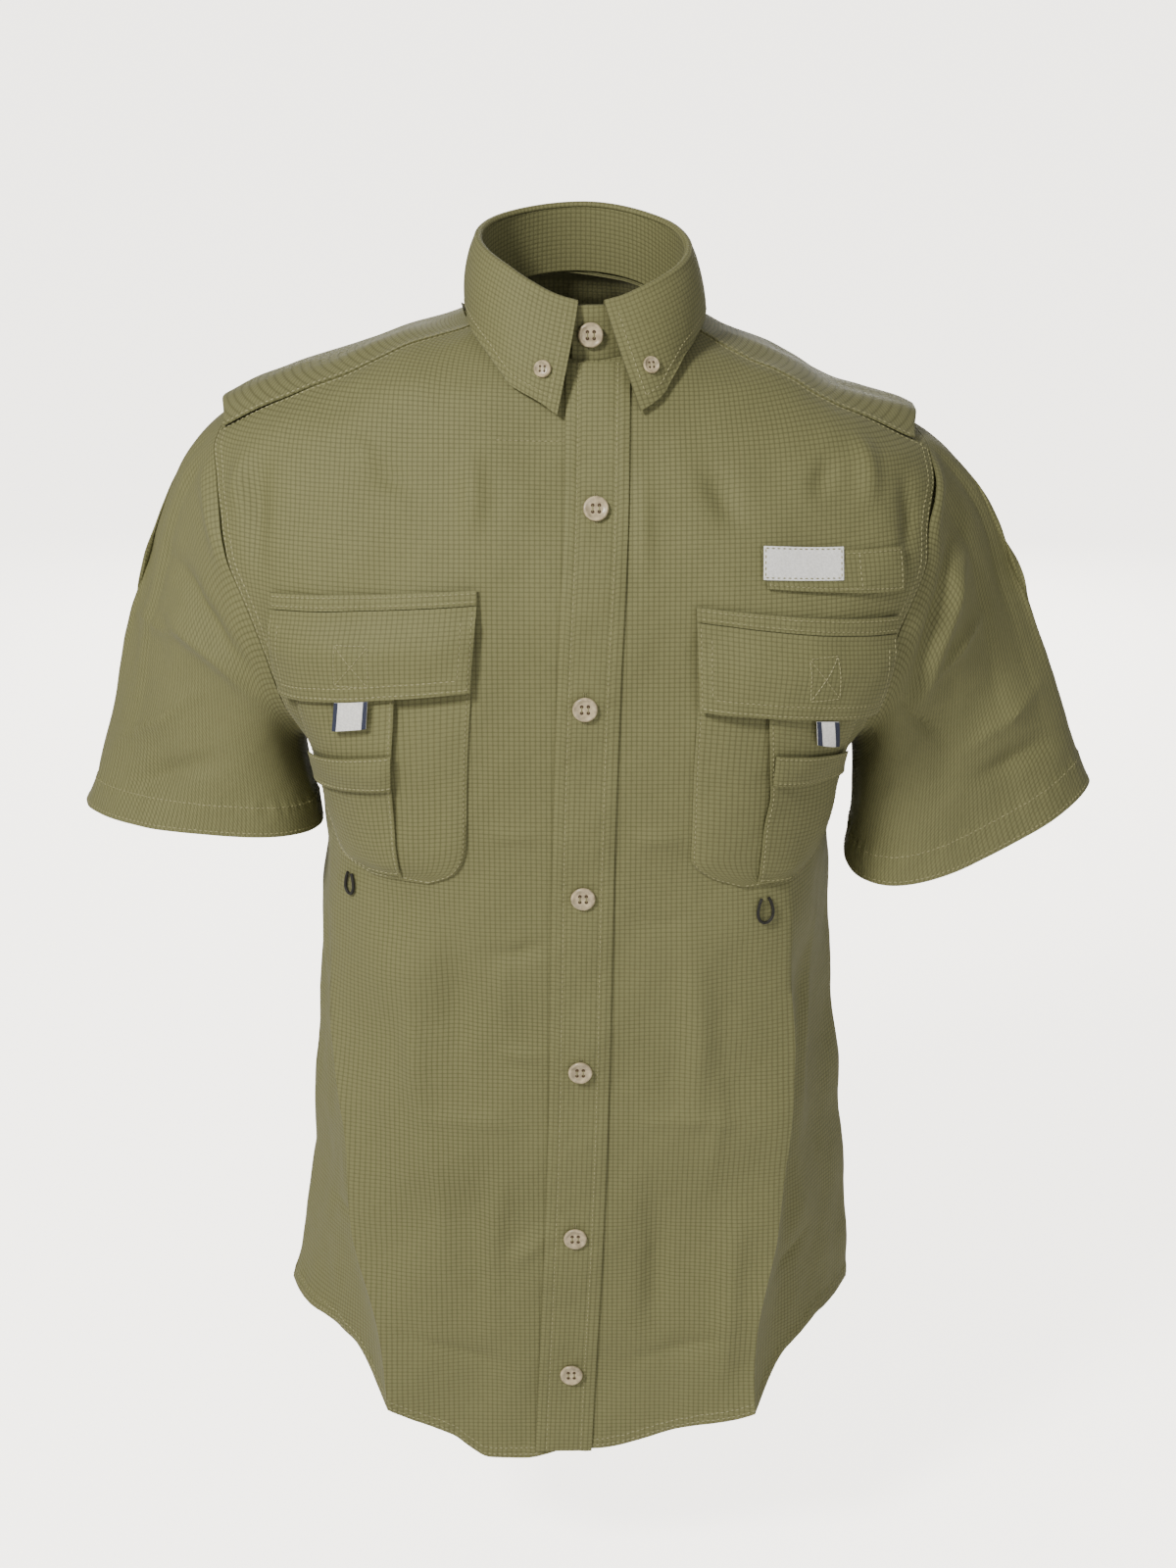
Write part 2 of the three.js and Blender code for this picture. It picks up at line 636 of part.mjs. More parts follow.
function back(name) {
  const hem = smooth(HEM, 'share', 'back');
  const width = (z, side) => quarter(side, 1, z).total - SEAM;
  const level = (s, z) => {
    const side = s < 0.5 ? RIGHT : LEFT;
    return ringPoint(side, 1, Math.abs(2 * s - 1) * width(z, side), z);
  };
  const lower = (s, t) => level(s, mix(hem(Math.abs(2 * s - 1)), UNDERARM_Z, t));
  const armAngle = (t) => mix(-Math.PI, ARMHOLE.seamAngle, t);
  const upper = coons(
    (s) => flattenOver(level(s, UNDERARM_Z)),
    (s) => flattenOver(shoulderEdge(s, NECK.radius + SEAM)),
    (t) => flattenOver(armholePoint(RIGHT, armAngle(t))),
    (t) => flattenOver(armholePoint(LEFT, armAngle(t))),
  );
  const places = [
    ...grid(STEPS.backLower, BACK_COLUMNS, lower),
    ...grid(STEPS.backArm, BACK_COLUMNS, (s, t) => {
      const [x, distance] = upper(s, t);
      return over(x).pointAt(distance);
    }).slice(1),
  ];
  return panel(name, places);
}

const panel = (name, places) => wall(
  name,
  CLOTH_GREEN,
  places.map((row) => row.map((point) => skin(point))),
  places.map((row) => row.map((point) => skin(point, -WALL))),
);

// The cape hangs from the shoulder seams and neck over the back. It lifts off at its loose ends and
// along its loose hem.
function cape(name) {
  const lift = (x, distance) => {
    const { endLift, hemLift } = CAPE;
    const end = endLift.high * ease((Math.abs(x) - endLift.from) / endLift.over);
    const loose = hemLift.high * ease(distance / hemLift.over);
    return CAPE_LIFT + end + loose;
  };
  const sideEdge = (side) => (t) => {
    const point = armholePoint(side, mix(CAPE.corner, ARMHOLE.seamAngle, t));
    const [x, distance] = flattenOver(point);
    const free = ease((t - CAPE.looseFrom) / CAPE.looseOver);
    return [mix(x - side * CAPE.inset, side * ARMHOLE[side].capeEnd, free), distance];
  };
  const ends = [RIGHT, LEFT].map((side) => sideEdge(side));
  const bottom = (s) => {
    const side = s < 0.5 ? RIGHT : LEFT;
    const [x, distance] = ends[s < 0.5 ? 0 : 1](0);
    const share = Math.abs(2 * s - 1) ** CAPE.evenOut;
    const middle = over(0).lengthTo([0, surfaceY(1, 0, CAPE_HEM_Z), CAPE_HEM_Z]);
    return [side * Math.abs(x) * share, mix(middle, distance, share ** 3)];
  };
  const edge = (s) => {
    const side = s < 0.5 ? RIGHT : LEFT;
    const outward = (Math.abs(2 * s - 1) - 1 + 2 * SEAM_SHARE) / (2 * SEAM_SHARE);
    const [x, distance] = flattenOver(shoulderEdge(s, NECK.radius + SEAM));
    return [mix(x, side * ARMHOLE[side].capeEnd, ease(outward) ** 4), distance];
  };
  const upper = coons(bottom, edge, ends[0], ends[1]);
  const place = (s, t) => {
    const [x, distance] = upper(s, t);
    return { point: over(x).pointAt(distance), off: lift(x, distance) };
  };
  const places = grid(CAPE.steps, BACK_COLUMNS, place);
  return wall(
    name,
    CLOTH_GREEN,
    places.map((row) => row.map(({ point, off }) => skin(point, off + WALL))),
    places.map((row) => row.map(({ point, off }) => skin(point, off))),
  );
}

// A sleeve: the armhole is carried out and down to the hem, all round
function sleeve(name, side) {
  const cuff = CUFFS[side];
  const middle = [0, 1, 2].map((i) => (cuff.outer[i] + cuff.inner[i] + cuff.front[i] + cuff.back[i]) / 4);
  const across = mixPoint(cuff.outer, cuff.inner, 0.5);
  const twist = add(across, middle, -1);
  const outward = add(cuff.outer, across, -1);
  const forward = add(cuff.front, cuff.back, -1).map((value) => value / 2);
  const hemPoint = (angle) => {
    const reach = add(add(middle, outward, Math.cos(angle)), forward, Math.sin(angle));
    return add(reach, twist, Math.cos(2 * angle));
  };
  const angles = [
    ...Array.from({ length: STEPS.backArm }, (_, i) => mix(-Math.PI, ARMHOLE.seamAngle, i / STEPS.backArm)),
    ...Array.from({ length: STEPS.frontArm }, (_, i) => mix(ARMHOLE.seamAngle, Math.PI, i / STEPS.frontArm)),
  ];
  const steps = angles.length;
  const starts = angles.map((angle) => {
    const point = armholePoint(side, angle);
    const ahead = armholePoint(side, angle + 0.02);
    const behind = armholePoint(side, angle - 0.02);
    const normal = normalAt(point);
    const inward = unit(cross(normal, unit(add(ahead, behind, -1)))).map((value) => side * value);
    return { point: add(point, inward, SEAM), normal, inward };
  });
  const outer = grid(SLEEVE.rows, steps - 1, () => null);
  for (let row = 0; row <= SLEEVE.rows; row += 1) {
    const t = (row / SLEEVE.rows) ** SLEEVE.crowd;
    angles.forEach((angle, column) => {
      const up = (1 + Math.cos(angle)) / 2;
      const { point, inward } = starts[column];
      const { inwardUnder, outwardUnder } = SLEEVE;
      const sideways = [side * outwardUnder * (1 - up), 0, 0];
      const leave = unit(add(sideways, inward, mix(inwardUnder, 1, up)));
      const reach = mix(SLEEVE.reachUnder, SLEEVE.reachTop, up);
      const fall = mix(SLEEVE.fallUnder, SLEEVE.fallTop, up);
      const arrive = unit([side * SLEEVE.flare * up, 0, -1]);
      const end = hemPoint(angle);
      const late = 3 * t ** 2 - 2 * t ** 3;
      const h = [1 - late, t ** 3 - 2 * t ** 2 + t, late, t ** 3 - t ** 2];
      outer[row][column] = [0, 1, 2].map((i) => (
        h[0] * point[i] + h[1] * reach * leave[i] + h[2] * end[i] + h[3] * fall * arrive[i]
      ));
    });
  }
  const inner = outer.map((line, row) => line.map((point, column) => {
    if (row === 0) return add(point, starts[column].normal, -WALL);
    const along = add(outer[Math.min(row + 1, SLEEVE.rows)][column], outer[row - 1][column], -1);
    const round = add(line[(column + 1) % steps], line[(column + steps - 1) % steps], -1);
    return add(point, unit(cross(round, along)), side * WALL);
  }));
  return wall(name, CLOTH_GREEN, outer, inner, true);
}

const foldHeight = smooth(COLLAR, 'azimuth', 'fold');
const onCollar = (azimuth, radius, z) => {
  const angle = radians(azimuth);
  return [NECK.x + radius * Math.sin(angle), NECK.y - radius * Math.cos(angle), z];
};

// The stand goes once round the neck, its right end over its left end at the front
function collarStand(name) {
  const radiusAt = (azimuth) => NECK.radius - STAND.overlap * ease((azimuth + 25) / 30);
  const topAt = (azimuth) => {
    const top = foldHeight(Math.min(Math.max(azimuth, LEAF.start), LEAF.end));
    return top - STAND.below;
  };
  const places = grid(2, STAND.steps, (s, t) => {
    const azimuth = mix(STAND.start, STAND.end, s);
    const bottom = neckPoint(azimuth, radiusAt(azimuth))[2] + SEAM;
    const radius = radiusAt(azimuth) - STAND.lean * t;
    return { azimuth, radius, z: mix(bottom, topAt(azimuth), t) };
  });
  const layer = (off) => places.map((row) => (
    row.map(({ azimuth, radius, z }) => onCollar(azimuth, radius - off, z))
  ));
  return wall(name, CLOTH_GREEN, layer(0), layer(STAND.thick));
}

const leafEdge = ['edgeAzimuth', 'edgeRadius', 'edge'].map((column) => smooth(COLLAR, 'azimuth', column));

// A place on the leaf by azimuth and by the share of the way from its fold to its edge
function leafPoint(azimuth, drop, off = 0) {
  const [edgeAzimuth, edgeRadius, edge] = leafEdge.map((curve) => curve(azimuth));
  const bow = LEAF.bow * Math.sin(Math.PI * drop);
  const radius = mix(LEAF.foldRadius, edgeRadius, drop) + bow + off;
  const point = onCollar(mix(azimuth, edgeAzimuth, drop), radius, mix(foldHeight(azimuth), edge, drop));
  const lowest = surfaceZ(point[0], point[1]) + LEAF.clear;
  return drop > 0.5 ? [point[0], point[1], Math.max(point[2], lowest)] : point;
}

// The leaf turns over the top of the stand and falls outside it
function collarLeaf(name) {
  const azimuths = Array.from({ length: LEAF.columns + 1 }, (_, i) => (
    mix(LEAF.start, LEAF.end, i / LEAF.columns)
  ));
  const standInside = NECK.radius - STAND.lean - STAND.thick;
  const standMiddle = standInside + STAND.thick / 2;
  const ring = (radius, rise) => azimuths.map((a) => onCollar(a, radius, foldHeight(a) + rise));
  const underFold = azimuths.map((a) => add(leafPoint(a, 0), [0, 0, 1], -STAND.below / 2));
  const outer = [
    ring(standInside, -STAND.below * 0.67),
    ring(standInside + 0.4, 1),
    ...LEAF_DROPS.map((drop) => azimuths.map((a) => leafPoint(a, drop, LEAF.thick))),
  ];
  const inner = [
    ring(standMiddle, -STAND.below * 0.67),
    ring(standMiddle + 0.4, -STAND.below * 0.63),
    underFold,
    ...LEAF_DROPS.slice(1).map((drop) => azimuths.map((a) => leafPoint(a, drop))),
  ];
  return wall(name, CLOTH_GREEN, outer, inner);
}

// The front band covers the meeting edges of the two fronts
function placket(name) {
  const columns = 4;
  const rows = STEPS.frontLower + STEPS.frontArm;
  const places = grid(rows, columns, (s, t) => {
    const shift = BAND.width * (s - 0.5);
    const top = neckPoint(neckAzimuth(bandX(NECK_FRONT_Z) + shift))[2];
    const row = t * rows;
    const lower = mix(HEM[0].right, UNDERARM_Z, row / STEPS.frontLower);
    const upper = mix(UNDERARM_Z, top - BAND.below, (row - STEPS.frontLower) / STEPS.frontArm);
    const z = row < STEPS.frontLower ? lower : upper;
    const x = bandX(z) + shift;
    return [x, surfaceY(-1, x, z), z];
  });
  return wall(
    name,
    CLOTH_GREEN,
    places.map((row) => row.map((point) => skin(point, BAND.off + BAND.thick))),
    places.map((row) => row.map((point) => skin(point, BAND.off))),
  );
}

// A piece that lies on a front, from the rows of its outline
function laid(name, { off, thick, puff, rows }, material = CLOTH_GREEN) {
  const steps = rows.map((row, i) => ({ ...row, step: i / (rows.length - 1) }));
  const curves = OUTLINE.map((column) => smooth(steps, 'step', column));
  const across = thick < 1 ? 3 : 7;
  const down = Math.max(2, rows.length * 2 - 2);
  const places = grid(down, across, (s, t) => {
    const [xOuter, zOuter, xInner, zInner] = curves.map((curve) => curve(t));
    const x = mix(xOuter, xInner, s);
    const z = mix(zOuter, zInner, s);
    const swell = puff * (4 * s * (1 - s)) ** 0.6 * (4 * t * (1 - t)) ** 0.6;
    return { point: [x, surfaceY(-1, x, z), z], out: off + swell };
  });
  return wall(
    name,
    material,
    places.map((row) => row.map(({ point, out }) => skin(point, out + thick))),
    places.map((row) => row.map(({ point, out }) => skin(point, out))),
  );
}

// An elastic loop: a drop shape of thin cord against the shirt
function pocketLoop(name, { x, z, drop, half }) {
  const points = Array.from({ length: LOOP_CORD.steps }, (_, i) => {
    const turn = mix(0.16, 0.84, i / (LOOP_CORD.steps - 1)) * 2 * Math.PI;
    const down = (1 - Math.cos(turn)) / 2;
    const px = x + half * Math.sin(turn) * down ** 0.6;
    const pz = z - drop * down;
    return new THREE.Vector3(...skin([px, surfaceY(-1, px, pz), pz], LAY + LOOP_CORD.radius + 0.4));
  });
  const path = new THREE.CatmullRomCurve3(points);
  const section = new THREE.Shape();
  section.absarc(0, 0, LOOP_CORD.radius, 0, 2 * Math.PI);
  const geometry = new THREE.ExtrudeGeometry(section, {
    extrudePath: path,
    steps: LOOP_CORD.steps,
    curveSegments: LOOP_CORD.sides / 2,
  });
  const mesh = new THREE.Mesh(geometry, CORD_DARK);
  mesh.name = name;
  return mesh;
}

// A round button with a rim, lying flat on the cloth at one place
function button(name, wide, place, normal) {
  const r = wide / 2;
  const profile = [[0, 0], [r * 0.86, 0], [r, BUTTON.thick * 0.5], [r * 0.88, BUTTON.thick],
    [r * 0.7, BUTTON.thick * 0.72], [0, BUTTON.thick * 0.68]];
  const line = profile.map(([x, y]) => new THREE.Vector2(x, y));
  const geometry = new THREE.LatheGeometry(line, BUTTON.sides);
  const mesh = new THREE.Mesh(geometry, BUTTON_HORN);
  mesh.quaternion.setFromUnitVectors(new THREE.Vector3(0, 1, 0), new THREE.Vector3(...normal));
  mesh.position.set(...place);
  mesh.name = name;
  return mesh;
}

function bandButton(name, { x, z }) {
  const point = [x, surfaceY(-1, x, z), z];
  return button(name, BUTTON.wide, skin(point, BAND.off + BAND.thick + 0.4), normalAt(point));
}

function standButton(name) {
  const { azimuth, z } = STAND_BUTTON;
  const out = unit([Math.sin(radians(azimuth)), -Math.cos(radians(azimuth)), 0]);
  return button(name, BUTTON.wide, onCollar(azimuth, NECK.radius + 0.5, z), out);
}

function collarButton(name, { azimuth, drop }) {
  const place = leafPoint(azimuth, drop, LEAF.thick + 0.8);
  const down = add(leafPoint(azimuth, drop + 0.05), leafPoint(azimuth, drop - 0.05), -1);
  const round = add(leafPoint(azimuth + 2, drop), leafPoint(azimuth - 2, drop), -1);
  return button(name, BUTTON.small, place, unit(cross(down, round)));
}

const shirt = new THREE.Group();
shirt.add(front('front_right', RIGHT), front('front_left', LEFT), back('back'), cape('back_cape'));
shirt.add(sleeve('sleeve_right', RIGHT), sleeve('sleeve_left', LEFT));
shirt.add(collarStand('collar_stand'), collarLeaf('collar_leaf'), placket('placket'));
for (const [name, piece] of Object.entries(LAID)) {
  const white = name.startsWith('flap_tab') || name === 'label';
  shirt.add(laid(name, piece, white ? WOVEN_WHITE : CLOTH_GREEN));
}
for (const [side, loop] of Object.entries(LOOPS)) shirt.add(pocketLoop(`pocket_loop_${side}`, loop));
shirt.add(standButton('button_stand'));
BAND_BUTTONS.forEach((place, i) => shirt.add(bandButton(`button_${i + 1}`, place)));
for (const [side, place] of Object.entries(COLLAR_BUTTONS)) {
  shirt.add(collarButton(`collar_button_${side}`, place));
}

export default shirt;
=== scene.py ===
# A short-sleeved button-down shirt, worn by nobody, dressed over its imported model.
# Lengths are in millimetres until a mesh is made. +Z is up, the front faces -Y and the wearer's
# right side is at -X. The origin is the middle of the neck at the height of the shoulder points.

import math

import bpy
import numpy as np
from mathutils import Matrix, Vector


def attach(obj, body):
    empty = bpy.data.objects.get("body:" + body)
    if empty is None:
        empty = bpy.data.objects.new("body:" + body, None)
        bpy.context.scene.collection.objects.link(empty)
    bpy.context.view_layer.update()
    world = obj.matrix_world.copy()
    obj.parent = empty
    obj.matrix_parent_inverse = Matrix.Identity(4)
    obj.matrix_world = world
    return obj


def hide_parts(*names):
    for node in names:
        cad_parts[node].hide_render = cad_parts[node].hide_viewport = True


MM = 0.001
TINY = 1e-9
RIGHT = -1
LEFT = 1

# Cloth and places on the body, as in the model
WALL = 0.8
SEAM = 0.35
SIDE_Y = 5
UNDERARM_Z = -262
CAPE_HEM_Z = -190
NECK = {"x": 3, "y": -9, "radius": 61}
NECK_CORNER = 81.5
NECK_FRONT_Z = -26
SHOULDER_BOW = 48
SHOULDER_GAP = 0.65
ARMHOLE_TOP = {RIGHT: -66, LEFT: -77}
CAPE_END = {RIGHT: 205, LEFT: 195}
ARMHOLE = {"front": 82, "back": 80, "egg": 0.3, "round": 0.9, "seam": 0.45}
BAND_WIDTH = 35.5

# Grid steps: about 3 mm of cloth each
STEPS = {"seam": 44, "front_neck": 33, "back_neck": 66, "lower": 150, "front_arm": 84, "back_arm": 88}


def table(columns, rows):
    """One dictionary per row, with the columns' names as its keys."""
    return [dict(zip(columns.split(), row)) for row in rows]


# Level sections of the body: half widths to the wearer's right and left, depths in front of and
# behind the side line, and how square the section is
BODY = table("z right left front back square", [
    (14, 2, 2, 2, 2, 2),
    (6, 40, 42, 40, 47, 2),
    (-11, 64, 60, 60, 64, 2.1),
    (-23, 99, 84, 72, 75, 2.1),
    (-34, 130, 110, 81, 83, 2.1),
    (-43, 155, 131, 87, 88, 2.15),
    (-53, 177, 148, 92, 92, 2.15),
    (-64, 199, 172, 97, 96, 2.2),
    (-74, 213, 193, 101, 99, 2.25),
    (-84, 219, 207, 106, 102, 2.35),
    (-105, 221, 216, 116, 108, 2.5),
    (-137, 219, 216, 127, 114, 2.8),
    (-164, 209, 208, 132, 117, 3),
    (-188, 200, 200, 133, 119, 3.1),
    (-218, 187, 188, 133, 120, 3.2),
    (-246, 170, 172, 132, 118, 3.2),
    (-262, 161, 163, 131, 117, 3.1),
    (-285, 156, 158, 130, 114, 3),
    (-320, 154, 154, 128, 109, 2.9),
    (-365, 158, 156, 124, 103, 2.8),
    (-431, 162, 159, 118, 99, 2.7),
    (-500, 168, 166, 112, 101, 2.6),
    (-570, 174, 173, 107, 105, 2.5),
    (-627, 184, 177, 103, 109, 2.5),
    (-650, 190, 179, 101, 111, 2.5),
    (-745, 191, 182, 96, 118, 2.6),
])

# Shirt-tail hem: its height at each share of the way from the middle to the side seam
HEM = table("share right left back", [
    (0, -714, -714, -742),
    (0.14, -720, -712, -739),
    (0.25, -720, -706, -733),
    (0.38, -703, -697, -722),
    (0.571, -683, -686, -701),
    (0.68, -655, -659, -684),
    (0.82, -646, -645, -664),
    (1, -645, -644, -646),
])

# Middle line of the front band
BAND_LINE = table("z x", [(-20, 11), (-91, 10.3), (-198, 6), (-287, 3.3), (-485, -0.3), (-720, -9.5)])

# The largest folds, which the solids have too
FOLDS = table("face x1 z1 x2 z2 wide high", [
    (-1, -60, -500, -70, -715, 22, -3),
    (-1, 62, -480, 58, -715, 22, -3),
    (1, -70, -300, -92, -735, 20, 6),
    (1, 76, -280, 88, -735, 22, 6),
    (1, 0, -260, 4, -735, 30, -5),
    (1, -140, -330, -150, -680, 16, 5),
    (1, 138, -350, 146, -680, 16, 4),
])

# Depth over which a fold changes faces, and how fast it starts
FOLD_FACE_OVER = 40
FOLD_START = 2.5

# Pressed corners: along each of these lines the front turns back towards the side seam
CORNERS = table("z right right_high left left_high", [
    (-310, -150, 0, 121, 0),
    (-370, -147, 0.15, 120.5, 0.45),
    (-430, -143, 0.5, 122, 0.9),
    (-512, -134, 0.9, 120.5, 1),
    (-563, -132.5, 1, 117, 1),
    (-629, -120, 1, 107, 1),
    (-720, -113, 1, 107, 1),
])
CORNER = {"out": 15, "in": -13, "front": 36, "back": 0.12, "share": 4 / 7, "from": 100}

# Collar: azimuth round the neck from the front, height of the fold, and place of the leaf's edge
COLLAR = table("azimuth fold edgeAzimuth edgeRadius edge", [
    (-349, 5, -338.6, 85.5, -51),
    (-340, 7, -332, 85, -46),
    (-328, 11, -323, 81.5, -37.5),
    (-312, 16, -310, 75, -27),
    (-275, 26, -277.5, 68.5, -17),
    (-230, 38, -230, 71, -8),
    (-180, 45, -180, 72, -1),
    (-130, 41, -130, 71, -4),
    (-85, 33, -83, 68, -10),
    (-48, 23, -45, 76.5, -27),
    (-30, 15, -28, 82, -39),
    (-14, 8, -17, 83, -46),
    (-3, 5, -10, 84, -52.5),
])

# Sleeve hems by their outer, front, inner and back points
CUFFS = {
    RIGHT: ((-306, 10, -315), (-216, -58, -313), (-159, 0, -321), (-240, 64, -320)),
    LEFT: ((318, 9, -302), (206, -55, -344), (167, 0, -334), (244, 63, -335)),
}

BAND_BUTTONS = [(9.8, -102), (3.8, -211), (2.8, -326.7), (1.2, -440), (-1.8, -556), (-4.3, -658)]


# Curves and small vector helpers
def smooth(rows, key, value):
    """A smooth curve through two columns of a table that never overshoots a row."""
    order = sorted(rows, key=lambda row: row[key])
    x = np.array([row[key] for row in order], float)
    y = np.array([row[value] for row in order], float)
    step = np.diff(x)
    slope = np.diff(y) / step
    tangent = np.zeros(len(x))
    tangent[0], tangent[-1] = slope[0], slope[-1]
    for i in range(1, len(x) - 1):
        if slope[i - 1] * slope[i] > 0:
            a = 2 * step[i] + step[i - 1]
            b = step[i] + 2 * step[i - 1]
            tangent[i] = (a + b) / (a / slope[i - 1] + b / slope[i])

    def curve(at):
        v = np.clip(at, x[0], x[-1])
        i = np.clip(np.searchsorted(x, v, side="right") - 1, 0, len(x) - 2)
        t = (v - x[i]) / step[i]
        rise = y[i] * (1 + 2 * t) * (1 - t) ** 2 + y[i + 1] * t * t * (3 - 2 * t)
        return rise + step[i] * t * (1 - t) * (tangent[i] * (1 - t) - tangent[i + 1] * t)

    return curve


def mix(a, b, t):
    """The value at share t of the way from a to b."""
    return a + (b - a) * t


def ease(t):
    """A soft step from 0 to 1."""
    t = np.clip(t, 0, 1)
    return t * t * (3 - 2 * t)


def stack(x, y, z):
    return np.stack(np.broadcast_arrays(x, y, z), axis=-1).astype(float)


def unit(v):
    return v / np.maximum(np.linalg.norm(v, axis=-1, keepdims=True), TINY)


def running_length(points):
    """Length from the first row of points to each row."""
    steps = np.linalg.norm(np.diff(points, axis=0), axis=-1)
    return np.concatenate([np.zeros((1,) + steps.shape[1:]), np.cumsum(steps, 0)])


body_right = smooth(BODY, "z", "right")
body_left = smooth(BODY, "z", "left")
body_front = smooth(BODY, "z", "front")
body_back = smooth(BODY, "z", "back")
body_square = smooth(BODY, "z", "square")
band_x = smooth(BAND_LINE, "z", "x")


# The body's smooth surface
def half_width(x, z):
    return np.where(np.asarray(x) < 0, body_right(z), body_left(z))


def half_depth(face, z):
    return np.where(np.asarray(face) < 0, body_front(z), body_back(z))


def field(p):
    """How far out a point is: 1 on the surface, less inside."""
    x, y, z = p[..., 0], p[..., 1] - SIDE_Y, p[..., 2]
    n = body_square(z)
    return (np.abs(x) / half_width(x, z)) ** n + (np.abs(y) / half_depth(y, z)) ** n


def surface_y(face, x, z):
    """Depth of the smooth surface at x and z, on the front (-1) or the back (1)."""
    n = body_square(z)
    rest = np.maximum(1 - (np.abs(x) / half_width(x, z)) ** n, 0)
    return SIDE_Y + face * half_depth(face, z) * rest ** (1 / n)


# Heights between which the top of the shoulders is looked for, and how often the span is halved
SHOULDER_LOW = -130.0
SHOULDER_HIGH = 14.0
HALVINGS = 32


def surface_z(x, y):
    x, y = np.broadcast_arrays(np.asarray(x, float), np.asarray(y, float))
    inside = np.full(x.shape, SHOULDER_LOW)
    outside = np.full(x.shape, SHOULDER_HIGH)
    for _ in range(HALVINGS):
        middle = (inside + outside) / 2
        within = field(stack(x, y, middle)) < 1
        inside = np.where(within, middle, inside)
        outside = np.where(within, outside, middle)
    return inside


def surface_x(side, y, z):
    n = body_square(z)
    rest = np.maximum(1 - (np.abs(y - SIDE_Y) / half_depth(y - SIDE_Y, z)) ** n, 0)
    return side * half_width(np.full_like(z, side, dtype=float), z) * rest ** (1 / n)


NORMAL_STEP = 0.5


def normals_at(p):
    """Outward normals of the smooth surface."""
    slope = []
    for axis in range(3):
        step = np.zeros(3)
        step[axis] = NORMAL_STEP
        slope.append(field(p + step) - field(p - step))
    return unit(np.stack(slope, axis=-1))


# Level sections measured along their length
TURNS = (math.pi / 2) * np.linspace(0, 1, 61) ** 1.4


def quarter(side, face, z):
    """Shape of a quarter of a level section, and its length up to each of TURNS."""
    n = body_square(z)[..., None]
    wide = half_width(side, z)[..., None]
    deep = half_depth(face, z)[..., None]
    x = wide * np.sin(TURNS) ** (2 / n)
    y = deep * np.maximum(np.cos(TURNS), 0) ** (2 / n)
    lengths = np.cumsum(np.hypot(np.diff(x), np.diff(y)), axis=-1)
    return n[..., 0], wide[..., 0], deep[..., 0], np.concatenate([0 * lengths[..., :1], lengths], -1)


def pick(values, i):
    return np.take_along_axis(values, i[..., None], -1)[..., 0]


def ring_point(side, face, distance, z):
    """A place on a level section by its distance from the middle, below zero on the other side."""
    distance, z = np.broadcast_arrays(np.asarray(distance, float), np.asarray(z, float))
    on_side = np.where(distance < 0, -side, side)
    n, wide, deep, lengths = quarter(on_side, face, z)
    d = np.minimum(np.abs(distance), lengths[..., -1])
    i = np.clip((lengths < d[..., None]).sum(-1) - 1, 0, len(TURNS) - 2)
    share = (d - pick(lengths, i)) / (pick(lengths, i + 1) - pick(lengths, i))
    turn = mix(TURNS[i], TURNS[i + 1], share)
    x = on_side * wide * np.sin(turn) ** (2 / n)
    y = SIDE_Y + face * deep * np.maximum(np.cos(turn), 0) ** (2 / n)
    return stack(x, y, z)


def ring_length(side, face, p):
    """Distance of a place from the middle along its level section."""
    on_side = np.where(p[..., 0] < 0, RIGHT, LEFT)
    n, wide, deep, lengths = quarter(on_side, face, p[..., 2])
    across = (np.abs(p[..., 0]) / wide) ** (n / 2)
    far = (np.abs(p[..., 1] - SIDE_Y) / deep) ** (n / 2)
    turn = np.arctan2(across, far)
    i = np.clip(np.searchsorted(TURNS, turn) - 1, 0, len(TURNS) - 2)
    share = (turn - TURNS[i]) / (TURNS[i + 1] - TURNS[i])
    return on_side * side * mix(pick(lengths, i), pick(lengths, i + 1), share)


# Sections over the shoulder at one x, measured along their length: zero on the shoulder line, more
# towards the back, less towards the front
OVER_STEPS = {"front": 40, "back": 90}
OVER_FRONT_Z = -125
OVER_FRONT = (1 - np.cos(math.pi * np.arange(OVER_STEPS["front"], 0, -1) / OVER_STEPS["front"])) / 2
OVER_BACK = (1 - np.cos(math.pi * np.arange(0, OVER_STEPS["back"] + 1) / OVER_STEPS["back"])) / 2


def over_lines(x):
    ridge = surface_z(x, SIDE_Y)[..., None]
    z_front = mix(ridge, OVER_FRONT_Z, OVER_FRONT)
    z_back = mix(ridge, UNDERARM_Z, OVER_BACK)
    wide = np.broadcast_to(x[..., None], z_front.shape)
    front = np.stack([surface_y(-1, wide, z_front), z_front], -1)
    wide = np.broadcast_to(x[..., None], z_back.shape)
    y_back = surface_y(1, wide, z_back)
    y_back[..., 0] = SIDE_Y
    back = np.stack([y_back, z_back], -1)
    points = np.concatenate([front, back], axis=-2)
    run = np.linalg.norm(np.diff(points, axis=-2), axis=-1)
    lengths = np.concatenate([0 * run[..., :1], np.cumsum(run, -1)], -1)
    middle = OVER_STEPS["front"]
    return points, lengths - lengths[..., middle:middle + 1]


def over_point(x, distance):
    """A place over the shoulder by its distance from the shoulder line."""
    x = np.asarray(x, float)
    points, lengths = over_lines(x)
    d = np.clip(distance, lengths[..., 0], lengths[..., -1])
    i = np.clip((lengths < d[..., None]).sum(-1) - 1, 0, lengths.shape[-1] - 2)
    share = (d - pick(lengths, i)) / np.maximum(pick(lengths, i + 1) - pick(lengths, i), TINY)
    y = mix(pick(points[..., 0], i), pick(points[..., 0], i + 1), share)
    z = mix(pick(points[..., 1], i), pick(points[..., 1], i + 1), share)
    return stack(x, y, z)


